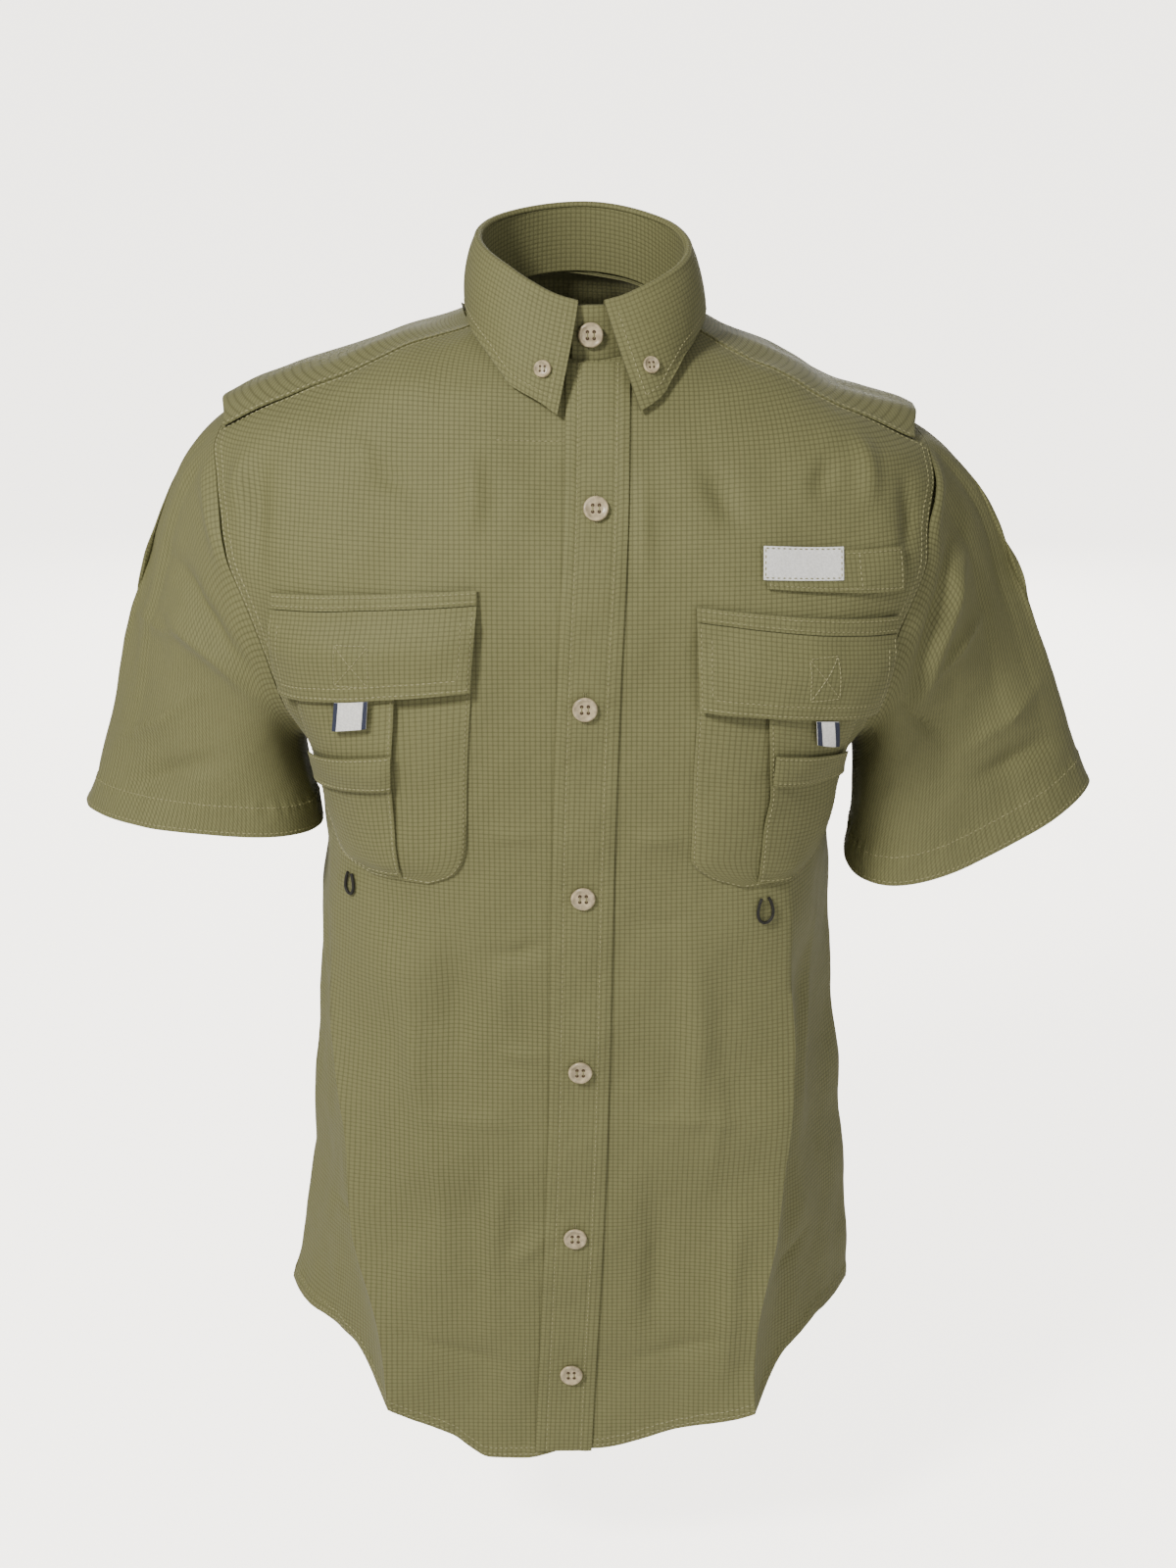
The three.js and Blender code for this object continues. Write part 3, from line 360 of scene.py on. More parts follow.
def over_length(p):
    """Distance of a place from the shoulder line."""
    points, lengths = over_lines(p[..., 0])
    start = points[..., :-1, :]
    run = np.diff(points, axis=-2)
    to = p[..., None, 1:] - start
    share = np.clip((run * to).sum(-1) / np.maximum((run * run).sum(-1), TINY), 0, 1)
    gap = np.linalg.norm(to - run * share[..., None], axis=-1)
    best = gap.argmin(-1)
    return mix(pick(lengths[..., :-1], best), pick(lengths[..., 1:], best), pick(share, best))


# Named lines on the body
def neck_azimuth(x):
    return math.degrees(math.asin((x - NECK["x"]) / NECK["radius"]))


def neck_point(azimuth, radius=NECK["radius"]):
    """A place on the neck seam by its azimuth from the front."""
    turn = np.radians(azimuth)
    x = NECK["x"] + radius * np.sin(turn)
    y = NECK["y"] - radius * np.cos(turn)
    return stack(x, y, surface_z(x, y))


def armhole_point(side, angle):
    """A place on the armhole: angle 0 is its top, positive angles are in front."""
    angle = np.asarray(angle, float)
    middle = (ARMHOLE_TOP[side] + UNDERARM_Z) / 2
    z = middle + (ARMHOLE_TOP[side] - middle) * np.cos(angle)
    deep = np.where(angle > 0, ARMHOLE["front"], ARMHOLE["back"])
    bulge = np.abs(np.sin(angle)) ** ARMHOLE["round"] * (1 - ARMHOLE["egg"] * np.cos(angle))
    y = SIDE_Y - np.sign(angle) * deep * bulge
    return stack(surface_x(side, y, z), y, z)


def shoulder_seam(side, share, forward=0):
    """A place on the shoulder seam, from the neck (0) to the armhole (1)."""
    neck = neck_point(side * NECK_CORNER, NECK["radius"] + SEAM)
    arm = armhole_point(side, ARMHOLE["seam"])
    x = mix(neck[0], arm[0], share)
    y = mix(neck[1], arm[1], share) - SHOULDER_BOW * share * (1 - share) - forward
    return stack(x, y, surface_z(x, y))


def coons(bottom, top, start, end):
    """Blends four edges, each an array of points, into the grid of places between them."""
    rows, columns = len(start), len(bottom)
    s = np.linspace(0, 1, columns)[None, :, None]
    t = np.linspace(0, 1, rows)[:, None, None]
    plain = mix(mix(start[0], end[0], s), mix(start[-1], end[-1], s), t)
    return mix(bottom[None], top[None], t) + mix(start[:, None], end[:, None], s) - plain


# Folds: each ridge (+) or trough (-) runs along places on one face, and fades at its ends.
# soft is rounded and sharp is a pressed crease.
CREASES = table("kind face wide high places", [
    ("soft", -1, 13, -6, [(134, -335), (135, -430), (132, -512), (129, -600), (122, -690)]),
    ("soft", -1, 13, -6, [(-160, -380), (-155, -450), (-147, -512), (-145, -563), (-134, -650)]),
    ("sharp", -1, 5, 2, [(-96, -470), (-84, -520), (-80, -600)]),
    ("sharp", -1, 5, -2, [(24, -330), (40, -345), (70, -342)]),
    ("sharp", -1, 5, 2.2, [(80, -420), (84, -470), (76, -540)]),
    ("sharp", -1, 5, 2, [(-30, -330), (-44, -380), (-42, -440)]),
    ("soft", -1, 7.6, -4.5, [(65, -76), (79, -95), (92, -118)]),
    ("soft", -1, 5.1, 2.8, [(35, -72), (36, -112), (38, -154)]),
    ("soft", -1, 6.8, 3.8, [(162, -70), (164, -93), (166, -113)]),
    ("soft", -1, 6, -3.4, [(144, -77), (136, -91), (131, -105)]),
    ("soft", -1, 5.1, 3.1, [(-132, -66), (-120, -76), (-109, -84)]),
    ("soft", -1, 6, -3.4, [(-126, -80), (-104, -87), (-82, -93)]),
    ("soft", -1, 7.6, -5.7, [(-176, -70), (-182, -100), (-182, -130), (-175, -162)]),
    ("soft", -1, 5.1, 3.8, [(-191, -77), (-194, -102), (-195, -118)]),
    ("soft", -1, 6.8, 3.8, [(-60, -60), (-58, -95), (-62, -130)]),
    ("soft", -1, 6.8, -4.5, [(186, -85), (190, -115), (184, -150)]),
    ("sharp", -1, 6, 2.8, [(-62, -290), (-40, -289), (-17, -290)]),
    ("sharp", -1, 6, 2.8, [(22, -290), (50, -292), (70, -291)]),
    ("sharp", -1, 7, -3.6, [(-121, -627), (-74, -643), (-31, -657)]),
    ("sharp", -1, 7, -3.6, [(18, -653), (61, -640), (107, -627)]),
    ("sharp", -1, 6, 2.8, [(-112, -480), (-70, -476), (-20, -480)]),
    ("sharp", -1, 6, 2.8, [(20, -478), (66, -475), (114, -482)]),
    ("soft", -1, 4.2, 2.7, [(-52, -428), (-35, -432), (-14, -433)]),
    ("soft", -1, 5.1, -2.8, [(-57, -369), (-34, -363), (-14, -355)]),
    ("soft", -1, 5.1, 2.8, [(-48, -585), (-30, -567), (-15, -549)]),
    ("soft", -1, 9.6, 4.8, [(63, -340), (71, -416), (71, -500)]),
    ("soft", -1, 10.2, -4.8, [(-68, -325), (-74, -383), (-70, -470)]),
    ("soft", -1, 7.6, 3.8, [(-41, -481), (-51, -550), (-55, -640)]),
    ("soft", -1, 8.2, -4.2, [(41, -502), (49, -557), (46, -650)]),
    ("soft", -1, 7.6, 3.6, [(-100, -350), (-98, -420), (-92, -520)]),
    ("soft", -1, 7, 3.6, [(98, -520), (92, -590), (88, -690)]),
    ("sharp", -1, 6, -2.8, [(-133, -560), (-150, -566), (-168, -562)]),
    ("sharp", -1, 6, -2.8, [(112, -600), (140, -590), (160, -575)]),
    ("soft", -1, 7.6, 3.8, [(150, -330), (146, -420), (150, -520)]),
    ("soft", -1, 7.6, 3.8, [(-152, -330), (-155, -400), (-160, -480)]),
    ("sharp", 1, 7, 3.2, [(-140, -330), (-40, -322), (60, -326), (145, -334)]),
    ("sharp", 1, 7, -3.2, [(-150, -560), (-50, -548), (60, -552), (155, -566)]),
    ("soft", 1, 11.9, 5.7, [(-30, -230), (-38, -360), (-30, -520)]),
    ("soft", 1, 12.8, -5.7, [(42, -250), (48, -400), (40, -560)]),
    ("soft", 1, 10.2, 4.8, [(104, -260), (110, -380), (118, -560)]),
    ("soft", 1, 10.2, -4.9, [(-108, -240), (-112, -400), (-120, -600)]),
    ("soft", 1, 8.5, 4.2, [(10, -480), (16, -600), (12, -720)]),
    ("soft", 1, 7.6, -4.5, [(-60, -560), (-52, -640), (-56, -725)]),
    ("soft", 1, 7.6, 4.2, [(150, -110), (130, -145), (100, -165)]),
    ("soft", 1, 7.6, -4.2, [(-152, -105), (-128, -140), (-96, -162)]),
    ("soft", 1, 8.5, 3.8, [(-70, -60), (-60, -110), (-64, -170)]),
    ("soft", 1, 8.5, -3.8, [(66, -64), (74, -120), (68, -175)]),
])


corner_x = {RIGHT: smooth(CORNERS, "z", "right"), LEFT: smooth(CORNERS, "z", "left")}
corner_high = {RIGHT: smooth(CORNERS, "z", "right_high"), LEFT: smooth(CORNERS, "z", "left_high")}


def corner_length(side, z):
    """Distance of a pressed corner from the middle."""
    x = corner_x[side](z)
    return ring_length(side, -1, stack(x, surface_y(-1, x, z), z))


def corner_height(p):
    """The corners stand out along their lines and fall in between them and the side seam."""
    total = np.zeros(p.shape[:-1])
    for side in (RIGHT, LEFT):
        here = (p[..., 2] < CORNERS[0]["z"]) & (p[..., 1] < SIDE_Y) & (p[..., 0] * side > 0)
        if not here.any():
            continue
        at = p[here]
        z = at[..., 2]
        line = corner_length(side, z)
        away = ring_length(side, -1, at) - line
        span = quarter(np.full_like(z, side), -1, z)[3][..., -1] - line
        beyond = np.clip(away / span, 0, 1)
        before = CORNER["out"] * np.exp(np.minimum(away, 0) / CORNER["front"])
        after = CORNER["out"] * np.exp(-beyond / CORNER["back"]) + CORNER["in"] * np.sin(math.pi * beyond)
        total[here] = corner_high[side](z) * np.where(away < 0, before, after)
    return total


def fold_height(p):
    """Height of all the folds over the smooth surface."""
    total = corner_height(p)
    x, y, z = p[..., 0], p[..., 1], p[..., 2]
    for fold in FOLDS:
        along = (z - fold["z1"]) / (fold["z2"] - fold["z1"])
        middle = mix(fold["x1"], fold["x2"], np.clip(along, 0, 1))
        away = (x - middle) / fold["wide"]
        near_face = ease(0.5 + fold["face"] * (y - SIDE_Y) / FOLD_FACE_OVER)
        total += near_face * fold["high"] * ease(along * FOLD_START) * np.exp(-away * away)
    return total + crease_height(p) + unevenness(p)


def close_steps(places, count=22):
    """Many places along a line given by a few, so that it follows a curved surface."""
    rows = np.array(places, float)
    share = np.linspace(0, len(rows) - 1, count)
    return [np.interp(share, np.arange(len(rows)), rows[:, k]) for k in range(rows.shape[1])]


def crease_height(p):
    """Height of all the creases of the body."""
    flat = p.reshape(-1, 3)
    total = np.zeros(len(flat))
    for crease in CREASES:
        x, z = close_steps(crease["places"])
        line = stack(x, surface_y(crease["face"], x, z), z)
        total += along_line(flat, line, crease["kind"], crease["wide"], crease["high"])
    return total.reshape(p.shape[:-1])


# How far a crease reaches, in its widths, and the share of its length over which each end fades
CREASE_REACH = 4
CREASE_FADE = 0.5


def along_line(flat, line, kind, wide, high):
    """Height of one ridge or trough that follows a line of points."""
    reach = CREASE_REACH * wide
    near = np.all((flat > line.min(0) - reach) & (flat < line.max(0) + reach), axis=1)
    result = np.zeros(len(flat))
    points = flat[near]
    if not len(points):
        return result
    run = np.diff(line, axis=0)
    lengths = np.linalg.norm(run, axis=1)
    begin = running_length(line)
    best = np.full(len(points), np.inf)
    place = np.zeros(len(points))
    for i, step in enumerate(run):
        share = np.clip((points - line[i]) @ step / lengths[i] ** 2, 0, 1)
        gap = np.linalg.norm(points - line[i] - share[:, None] * step, axis=1)
        closer = gap < best
        best[closer] = gap[closer]
        place[closer] = begin[i] + share[closer] * lengths[i]
    along = place / begin[-1]
    fade = ease(along / CREASE_FADE) * ease((1 - along) / CREASE_FADE)
    away = best / wide
    shape = np.exp(-away) if kind == "sharp" else np.exp(-away * away)
    result[near] = high * fade * shape
    return result


# Slight unevenness of all the cloth: waves by length and height
WAVE_SEED = 7
WAVES_EACH = 7
WAVE_SIZES = ((95, 0.75), (60, 0.45), (34, 0.22), (17, 0.08))
WAVE_SHARE = 0.6
waves = np.random.default_rng(WAVE_SEED)
WAVES = []
for length, high in WAVE_SIZES:
    for _ in range(WAVES_EACH):
        direction = unit(waves.normal(size=3))
        wave = direction * 2 * math.pi / (length * waves.uniform(0.8, 1.25))
        WAVES.append((wave, waves.uniform(0, 6.28), high))


def unevenness(p):
    """Slight waves of all the cloth."""
    total = np.zeros(p.shape[:-1])
    for wave, phase, high in WAVES:
        total += high * np.sin(p @ wave + phase)
    return total * WAVE_SHARE


def skin(p, off=0):
    """Points moved off the folded cloth along the smooth surface's normal."""
    return p + normals_at(p) * (off + fold_height(p))[..., None]


# Meshes
def new_object(name, data):
    obj = bpy.data.objects.new(name, data)
    bpy.context.scene.collection.objects.link(obj)
    return obj


def grid_normals(p, looped=False):
    """Normals of a grid of points."""
    if looped:
        across = np.roll(p, -1, axis=1) - np.roll(p, 1, axis=1)
    else:
        across = np.gradient(p, axis=1)
    return unit(np.cross(across, np.gradient(p, axis=0)))


def quads(rows, columns, looped, first, wide):
    """Corner numbers of a grid's faces, and the row and unwrapped column of each corner."""
    steps = columns if looped else columns - 1
    i, j = np.meshgrid(np.arange(rows - 1), np.arange(steps), indexing="ij")
    i, j = i.ravel(), j.ravel()
    corner_rows = np.stack([i, i, i + 1, i + 1], 1)
    corner_columns = np.stack([j, j + 1, j + 1, j], 1)
    return first + corner_rows * wide + corner_columns % columns, corner_rows, corner_columns


SHARP_ANGLE = 55


def make_mesh(name, verts, faces, material, weave=None):
    """faces is one array of four corners each; weave has the cloth's own place at each corner."""
    mesh = bpy.data.meshes.new(name)
    mesh.vertices.add(len(verts))
    mesh.vertices.foreach_set("co", (verts * MM).astype(np.float32).ravel())
    mesh.loops.add(faces.size)
    mesh.loops.foreach_set("vertex_index", faces.ravel().astype(np.int32))
    mesh.polygons.add(len(faces))
    mesh.polygons.foreach_set("loop_start", np.arange(0, faces.size, faces.shape[1], dtype=np.int32))
    mesh.update(calc_edges=True)
    if weave is not None:
        layer = mesh.attributes.new("weave", "FLOAT_VECTOR", "CORNER")
        flat = np.concatenate([weave, np.zeros(weave.shape[:-1] + (1,))], -1)
        layer.data.foreach_set("vector", flat.astype(np.float32).ravel())
    mesh.validate()
    mesh.shade_smooth()
    mesh.set_sharp_from_angle(angle=math.radians(SHARP_ANGLE))
    mesh.materials.append(material)
    return new_object(name, mesh)


def shell(name, outer, normal, thick, material, looped=False, weave=None):
    """A thin closed wall from a grid of outer points and their normals."""
    rows, columns = outer.shape[:2]
    if weave is None:
        weave = cloth_places(outer, looped)
    inner = outer - normal * thick
    verts = np.concatenate([outer.reshape(-1, 3), inner.reshape(-1, 3)])
    layer = rows * columns
    front, i, j = quads(rows, columns, looped, 0, columns)
    a, b, c = (outer.reshape(-1, 3)[front[:, k]] for k in (0, 1, 3))
    middle = normal.reshape(-1, 3)[front[:, 0]]
    turned = (np.cross(b - a, c - a) * middle).sum() < 0
    back = front[:, ::-1] + layer
    faces = [front, back]
    places = [weave[i, j], weave[i, j][:, ::-1]]
    steps = columns if looped else columns - 1
    k = np.arange(steps)
    for row, flip in ((0, False), (rows - 1, True)):
        here = row * columns + k
        there = row * columns + (k + 1) % columns
        rim = np.stack([here, here + layer, there + layer, there], 1)
        near, far = weave[row, k], weave[row, k + 1]
        spot = np.stack([near, near, far, far], 1)
        faces.append(rim[:, ::-1] if flip else rim)
        places.append(spot[:, ::-1] if flip else spot)
    if not looped:
        k = np.arange(rows - 1)
        for column, flip in ((0, True), (columns - 1, False)):
            here = k * columns + column
            there = here + columns
            rim = np.stack([here, here + layer, there + layer, there], 1)
            near, far = weave[k, column], weave[k + 1, column]
            spot = np.stack([near, near, far, far], 1)
            faces.append(rim[:, ::-1] if flip else rim)
            places.append(spot[:, ::-1] if flip else spot)
    faces = np.concatenate(faces)
    places = np.concatenate(places)
    if turned:
        faces = faces[:, ::-1]
        places = places[:, ::-1]
    return make_mesh(name, verts, np.ascontiguousarray(faces), material, places)


def cloth_places(outer, looped):
    """Where each grid point lies in its own flat cloth, in millimetres across and along."""
    if looped:
        outer = np.concatenate([outer, outer[:, :1]], axis=1)
    across = np.linalg.norm(np.diff(outer, axis=1), axis=-1).mean(0)
    u = np.concatenate([[0], np.cumsum(across)])
    return np.stack(np.broadcast_arrays(u[None, :], running_length(outer)), -1)


WEAVE_LINE = {"x": 60.0, "z_low": -760, "steps": 400}


def body_places(face, places):
    """Place in the flat cloth: distance round a level section, and along a line near the middle."""
    z = np.linspace(WEAVE_LINE["z_low"], 0, WEAVE_LINE["steps"])
    line = stack(WEAVE_LINE["x"], surface_y(face, np.array(WEAVE_LINE["x"]), z), z)
    along = np.interp(places[..., 2], z, running_length(line))
    return np.stack([ring_length(LEFT, face, places), along], -1)


# Materials
def new_material(name):
    material = bpy.data.materials.new(name)
    material.use_nodes = True
    nodes = material.node_tree.nodes
    nodes.clear()
    shader = nodes.new("ShaderNodeBsdfPrincipled")
    output = nodes.new("ShaderNodeOutputMaterial")
    material.node_tree.links.new(shader.outputs[0], output.inputs[0])
    return material, shader


def maths(tree, operation, *values):
    node = tree.nodes.new("ShaderNodeMath")
    node.operation = operation
    for slot, value in enumerate(values):
        if isinstance(value, (int, float)):
            node.inputs[slot].default_value = value
        else:
            tree.links.new(value, node.inputs[slot])
    return node.outputs[0]


def noise(tree, vector, scale, detail):
    node = tree.nodes.new("ShaderNodeTexNoise")
    node.inputs["Scale"].default_value = scale
    node.inputs["Detail"].default_value = detail
    tree.links.new(vector, node.inputs["Vector"])
    return node.outputs["Fac"]


def ramp(tree, value, stops):
    node = tree.nodes.new("ShaderNodeValToRGB")
    tree.links.new(value, node.inputs[0])
    elements = node.color_ramp.elements
    while len(elements) < len(stops):
        elements.new(0.5)
    for element, (place, colour) in zip(elements, stops):
        element.position = place
        element.color = (*colour, 1)
    return node.outputs[0]


def bump(tree, shader, height, strength, distance):
    node = tree.nodes.new("ShaderNodeBump")
    node.inputs["Strength"].default_value = strength
    node.inputs["Distance"].default_value = distance
    tree.links.new(height, node.inputs["Height"])
    tree.links.new(node.outputs[0], shader.inputs["Normal"])


# Cloth: size of its cells, how square they are, its fine threads, uneven colour, relief, and the painted
# shade that darkens its grooves
WAFFLE = {"across": 3.0, "along": 2.6, "square": 0.6, "thread": 0.42, "thread_high": 0.12}
CLOTH_UNEVEN = {"cloud": 9, "cloudy": 0.35, "grain": 420, "grainy": 0.25}
CLOTH_BUMP = {"strength": 0.55, "distance": 0.00025}
# Painted shade: the darker colour of the grooves between the raised cells
CLOTH_GROOVE_PAINTED_SHADE = (0.097, 0.094, 0.038)
CLOTH_CELL = (0.172, 0.167, 0.073)


def cloth_material():
    """Olive cloth with small raised cells, a fine weave within them and a slight sheen; its grooves are
    darkened with painted shade.
    """
    material, shader = new_material("olive_waffle_cloth")
    tree = material.node_tree
    place = tree.nodes.new("ShaderNodeAttribute")
    place.attribute_name = "weave"
    split = tree.nodes.new("ShaderNodeSeparateXYZ")
    tree.links.new(place.outputs["Vector"], split.inputs[0])
    rounded = []
    for axis, period in ((0, WAFFLE["across"]), (1, WAFFLE["along"])):
        turn = maths(tree, "MULTIPLY", split.outputs[axis], math.pi / period)
        wave = maths(tree, "ABSOLUTE", maths(tree, "SINE", turn))
        rounded.append(maths(tree, "POWER", wave, WAFFLE["square"]))
    cell = maths(tree, "MULTIPLY", *rounded)
    threads = []
    for axis in (0, 1):
        turn = maths(tree, "MULTIPLY", split.outputs[axis], 2 * math.pi / WAFFLE["thread"])
        threads.append(maths(tree, "SINE", turn))
    fine = maths(tree, "MULTIPLY", maths(tree, "MULTIPLY", *threads), WAFFLE["thread_high"])
    coordinates = tree.nodes.new("ShaderNodeTexCoord").outputs["Object"]
    cloudy = noise(tree, coordinates, CLOTH_UNEVEN["cloud"], 3)
    speckle = noise(tree, coordinates, CLOTH_UNEVEN["grain"], 1)
    shade = cell
    for value, share in ((cloudy, CLOTH_UNEVEN["cloudy"]), (speckle, CLOTH_UNEVEN["grainy"])):
        change = maths(tree, "MULTIPLY", maths(tree, "SUBTRACT", value, 0.5), share)
        shade = maths(tree, "ADD", shade, change)
    # Painted shade: the lower the cell relief, the darker the colour, so the grooves are shaded by colour;
    # the noise adds random tone
    colour = ramp(tree, shade, [(0.0, CLOTH_GROOVE_PAINTED_SHADE), (0.75, CLOTH_CELL)])
    tree.links.new(colour, shader.inputs["Base Color"])
    shader.inputs["Roughness"].default_value = 0.7
    shader.inputs["Specular IOR Level"].default_value = 0.24
    shader.inputs["Sheen Weight"].default_value = 0.06
    shader.inputs["Sheen Roughness"].default_value = 0.4
    relief = maths(tree, "ADD", cell, fine)
    bump(tree, shader, relief, CLOTH_BUMP["strength"], CLOTH_BUMP["distance"])
    return material


def plain_material(name, colour, roughness, specular=0.5, grain=900, depth=0.0001, spread=0.12):
    material, shader = new_material(name)
    tree = material.node_tree
    coordinates = tree.nodes.new("ShaderNodeTexCoord").outputs["Object"]
    speckle = noise(tree, coordinates, grain, 2)
    dark = tuple(c * (1 - spread) for c in colour)
    light = tuple(min(c * (1 + spread), 1) for c in colour)
    tree.links.new(ramp(tree, speckle, [(0.3, dark), (0.7, light)]), shader.inputs["Base Color"])
    shader.inputs["Roughness"].default_value = roughness
    shader.inputs["Specular IOR Level"].default_value = specular
    bump(tree, shader, speckle, 0.4, depth)
    return material


def add_piece(obj, nodes):
    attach(obj, "root")
    if nodes:
        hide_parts(*nodes)
    return obj


# Stitching: thread lozenges along rows that follow the edges of a piece
STITCH = {"pitch": 3.3, "long": 2.5, "wide": 0.95, "high": 0.5, "turn_over": 0.8}


def edge_row(outer, normal, edge, inset, trim=0.0):
    """A row of stitches at one distance from an edge of a grid, with its ends cut off by trim."""
    if edge in ("left", "right"):
        outer, normal = outer.transpose(1, 0, 2), normal.transpose(1, 0, 2)
    if edge in ("last", "right"):
        outer, normal = outer[::-1], normal[::-1]
    run = running_length(outer)
    line = np.zeros_like(outer[0])
    up = np.zeros_like(outer[0])
    for j in range(outer.shape[1]):
        row = np.interp(inset, run[:, j], np.arange(len(run)))
        i = min(int(row), len(run) - 2)
        line[j] = mix(outer[i, j], outer[i + 1, j], row - i)
        up[j] = mix(normal[i, j], normal[i + 1, j], row - i)
    return stitch_row(line, up, trim)


def stitch_row(line, up, trim=0.0, pitch=STITCH["pitch"]):
    """Middles, directions and normals of the stitches along a line."""
    run = running_length(line)
    at = np.arange(trim + pitch / 2, run[-1] - trim, pitch)

    def along(values, places):
        return np.stack([np.interp(places, run, values[:, k]) for k in range(3)], 1)

    ahead, behind = along(line, at + STITCH["turn_over"]), along(line, at - STITCH["turn_over"])
    return along(line, at), unit(ahead - behind), unit(along(up, at))


def stitches(name, rows, wide=STITCH["wide"], long=STITCH["long"]):
    """One mesh of all the rows of stitches of a piece."""
    middle, along, up = (np.concatenate([row[k] for row in rows]) for k in range(3))
    across = unit(np.cross(up, along))
    corners = np.stack([
        middle - along * long / 2, middle + along * long / 2,
        middle + across * wide / 2, middle + up * STITCH["high"],
        middle - across * wide / 2, middle - up * STITCH["high"],
    ], 1)
    around = [(0, 3, 2), (0, 4, 3), (0, 5, 4), (0, 2, 5), (1, 2, 3), (1, 3, 4), (1, 4, 5), (1, 5, 2)]
    faces = (np.arange(len(middle))[:, None, None] * 6 + np.array(around)[None]).reshape(-1, 3)
    obj = make_mesh(f"{name}_stitches", corners.reshape(-1, 3), faces, THREAD_CLOTH)
    return add_piece(obj, [])


def body_row(places, off=0.1, trim=0.0):
    """A row of stitches on a front, through places given by x and z."""
    xz = np.array(places, float)
    share = np.linspace(0, 1, 40)
    steps = np.linspace(0, 1, len(xz))
    x, z = np.interp(share, steps, xz[:, 0]), np.interp(share, steps, xz[:, 1])
    spots = stack(x, surface_y(-1, x, z), z)
    return stitch_row(skin(spots, off), normals_at(spots), trim)


# Hems: width of the turned-up cloth, its step and height, and the puckers along its stitching
HEM_FOLD = {"body": 7, "sleeve": 19, "cape": 10, "step": 1.5, "high": 0.5, "pucker": 0.5, "spread": 5}
PUCKER = {"length": 1.7, "drift": 1.9, "drift_length": 8.1}
BODY_HEM_ROWS = (HEM_FOLD["body"], HEM_FOLD["body"] - 4.5)
SLEEVE_HEM_ROWS = (HEM_FOLD["sleeve"], 2.5)
ARMHOLE_ROWS = (7, 1.6)
SHOULDER_ROW = (1.8, 3)


def distance_from(outer, edge):
    """Length of cloth from the first or the last row of a grid."""
    run = running_length(outer if edge == "first" else outer[::-1])
    return run if edge == "first" else run[::-1]


def hem_height(outer, edge, width):
    """The turned-up cloth of a hem stands out a little and puckers along its stitching."""
    run = distance_from(outer, edge)
    along = cloth_places(outer, False)[..., 0]
    waver = PUCKER["drift"] * np.sin(along / PUCKER["drift_length"])
    near_row = np.exp(-((run - width) / HEM_FOLD["spread"]) ** 2)
    pucker = np.sin(along / PUCKER["length"] + waver) * near_row
    return HEM_FOLD["high"] * (1 - ease((run - width) / HEM_FOLD["step"])) + HEM_FOLD["pucker"] * pucker


# Panels
def front(side, material):
    name = "front_right" if side == RIGHT else "front_left"
    hem = smooth(HEM, "share", "right" if side == RIGHT else "left")
    columns = STEPS["front_neck"] + STEPS["seam"]
    s = np.linspace(0, 1, columns + 1)

    def edge_length(z):
        x = band_x(z) + side * SEAM / 2
        return ring_length(side, -1, stack(x, surface_y(-1, x, z), z))

    def side_length(z):
        return quarter(np.full_like(z, side), -1, z)[3][..., -1] - SEAM

    t = np.linspace(0, 1, STEPS["lower"] + 1)[:, None]
    z = mix(hem(s)[None, :], UNDERARM_Z, t)
    even = mix(edge_length(z), side_length(z), s)
    before = mix(edge_length(z), corner_length(side, z), s / CORNER["share"])
    after = mix(corner_length(side, z), side_length(z), (s - CORNER["share"]) / (1 - CORNER["share"]))
    cornered = np.where(s < CORNER["share"], before, after)
    lower = ring_point(side, -1, mix(even, cornered, ease((UNDERARM_Z - z) / CORNER["from"])), z)
    neck_start = side * neck_azimuth(float(band_x(NECK_FRONT_Z)) + side * SEAM / 2)
    turns = side * np.linspace(neck_start, NECK_CORNER, STEPS["front_neck"] + 1)
    neck = neck_point(turns, NECK["radius"] + SEAM)
    seam = shoulder_seam(side, np.linspace(0, 1, STEPS["seam"] + 1)[1:], SHOULDER_GAP)
    top = np.concatenate([neck, seam])

    def flatten(p):
        return np.stack([ring_length(side, -1, p), p[..., 2]], -1)

    under = np.full(columns + 1, float(UNDERARM_Z))
    bottom = np.stack([mix(edge_length(under), side_length(under), s), under], -1)
    z_edge = np.linspace(UNDERARM_Z, neck[0, 2], STEPS["front_arm"] + 1)
    start = np.stack([edge_length(z_edge), z_edge], -1)
    angles = np.linspace(math.pi, ARMHOLE["seam"], STEPS["front_arm"] + 1)
    end = flatten(armhole_point(side, angles))
    flat = coons(bottom, flatten(top), start, end)
    upper = ring_point(side, -1, flat[..., 0], flat[..., 1])
    places = np.concatenate([lower, upper[1:]])
    normal = normals_at(places)
    outer = places + normal * (fold_height(places) + hem_height(places, "first", HEM_FOLD["body"]))[..., None]
    obj = shell(f"{name}_cloth", outer, normal, WALL, material, weave=body_places(-1, places))
    arm = slice(STEPS["lower"] + 2, None)
    seam = slice(STEPS["front_neck"], None)
    rows = [
        *(edge_row(outer, normal, "first", inset) for inset in BODY_HEM_ROWS),
        *(edge_row(outer[arm], normal[arm], "right", inset) for inset in ARMHOLE_ROWS),
        edge_row(outer[:, seam], normal[:, seam], "last", *SHOULDER_ROW),
    ]
    stitches(name, rows + ([body_row(CHEST_ROW)] if side == RIGHT else []))
    return obj


CHEST_ROW = [(-46, -67), (-6, -67)]
BACK_COLUMNS = STEPS["back_neck"] + 2 * STEPS["seam"]


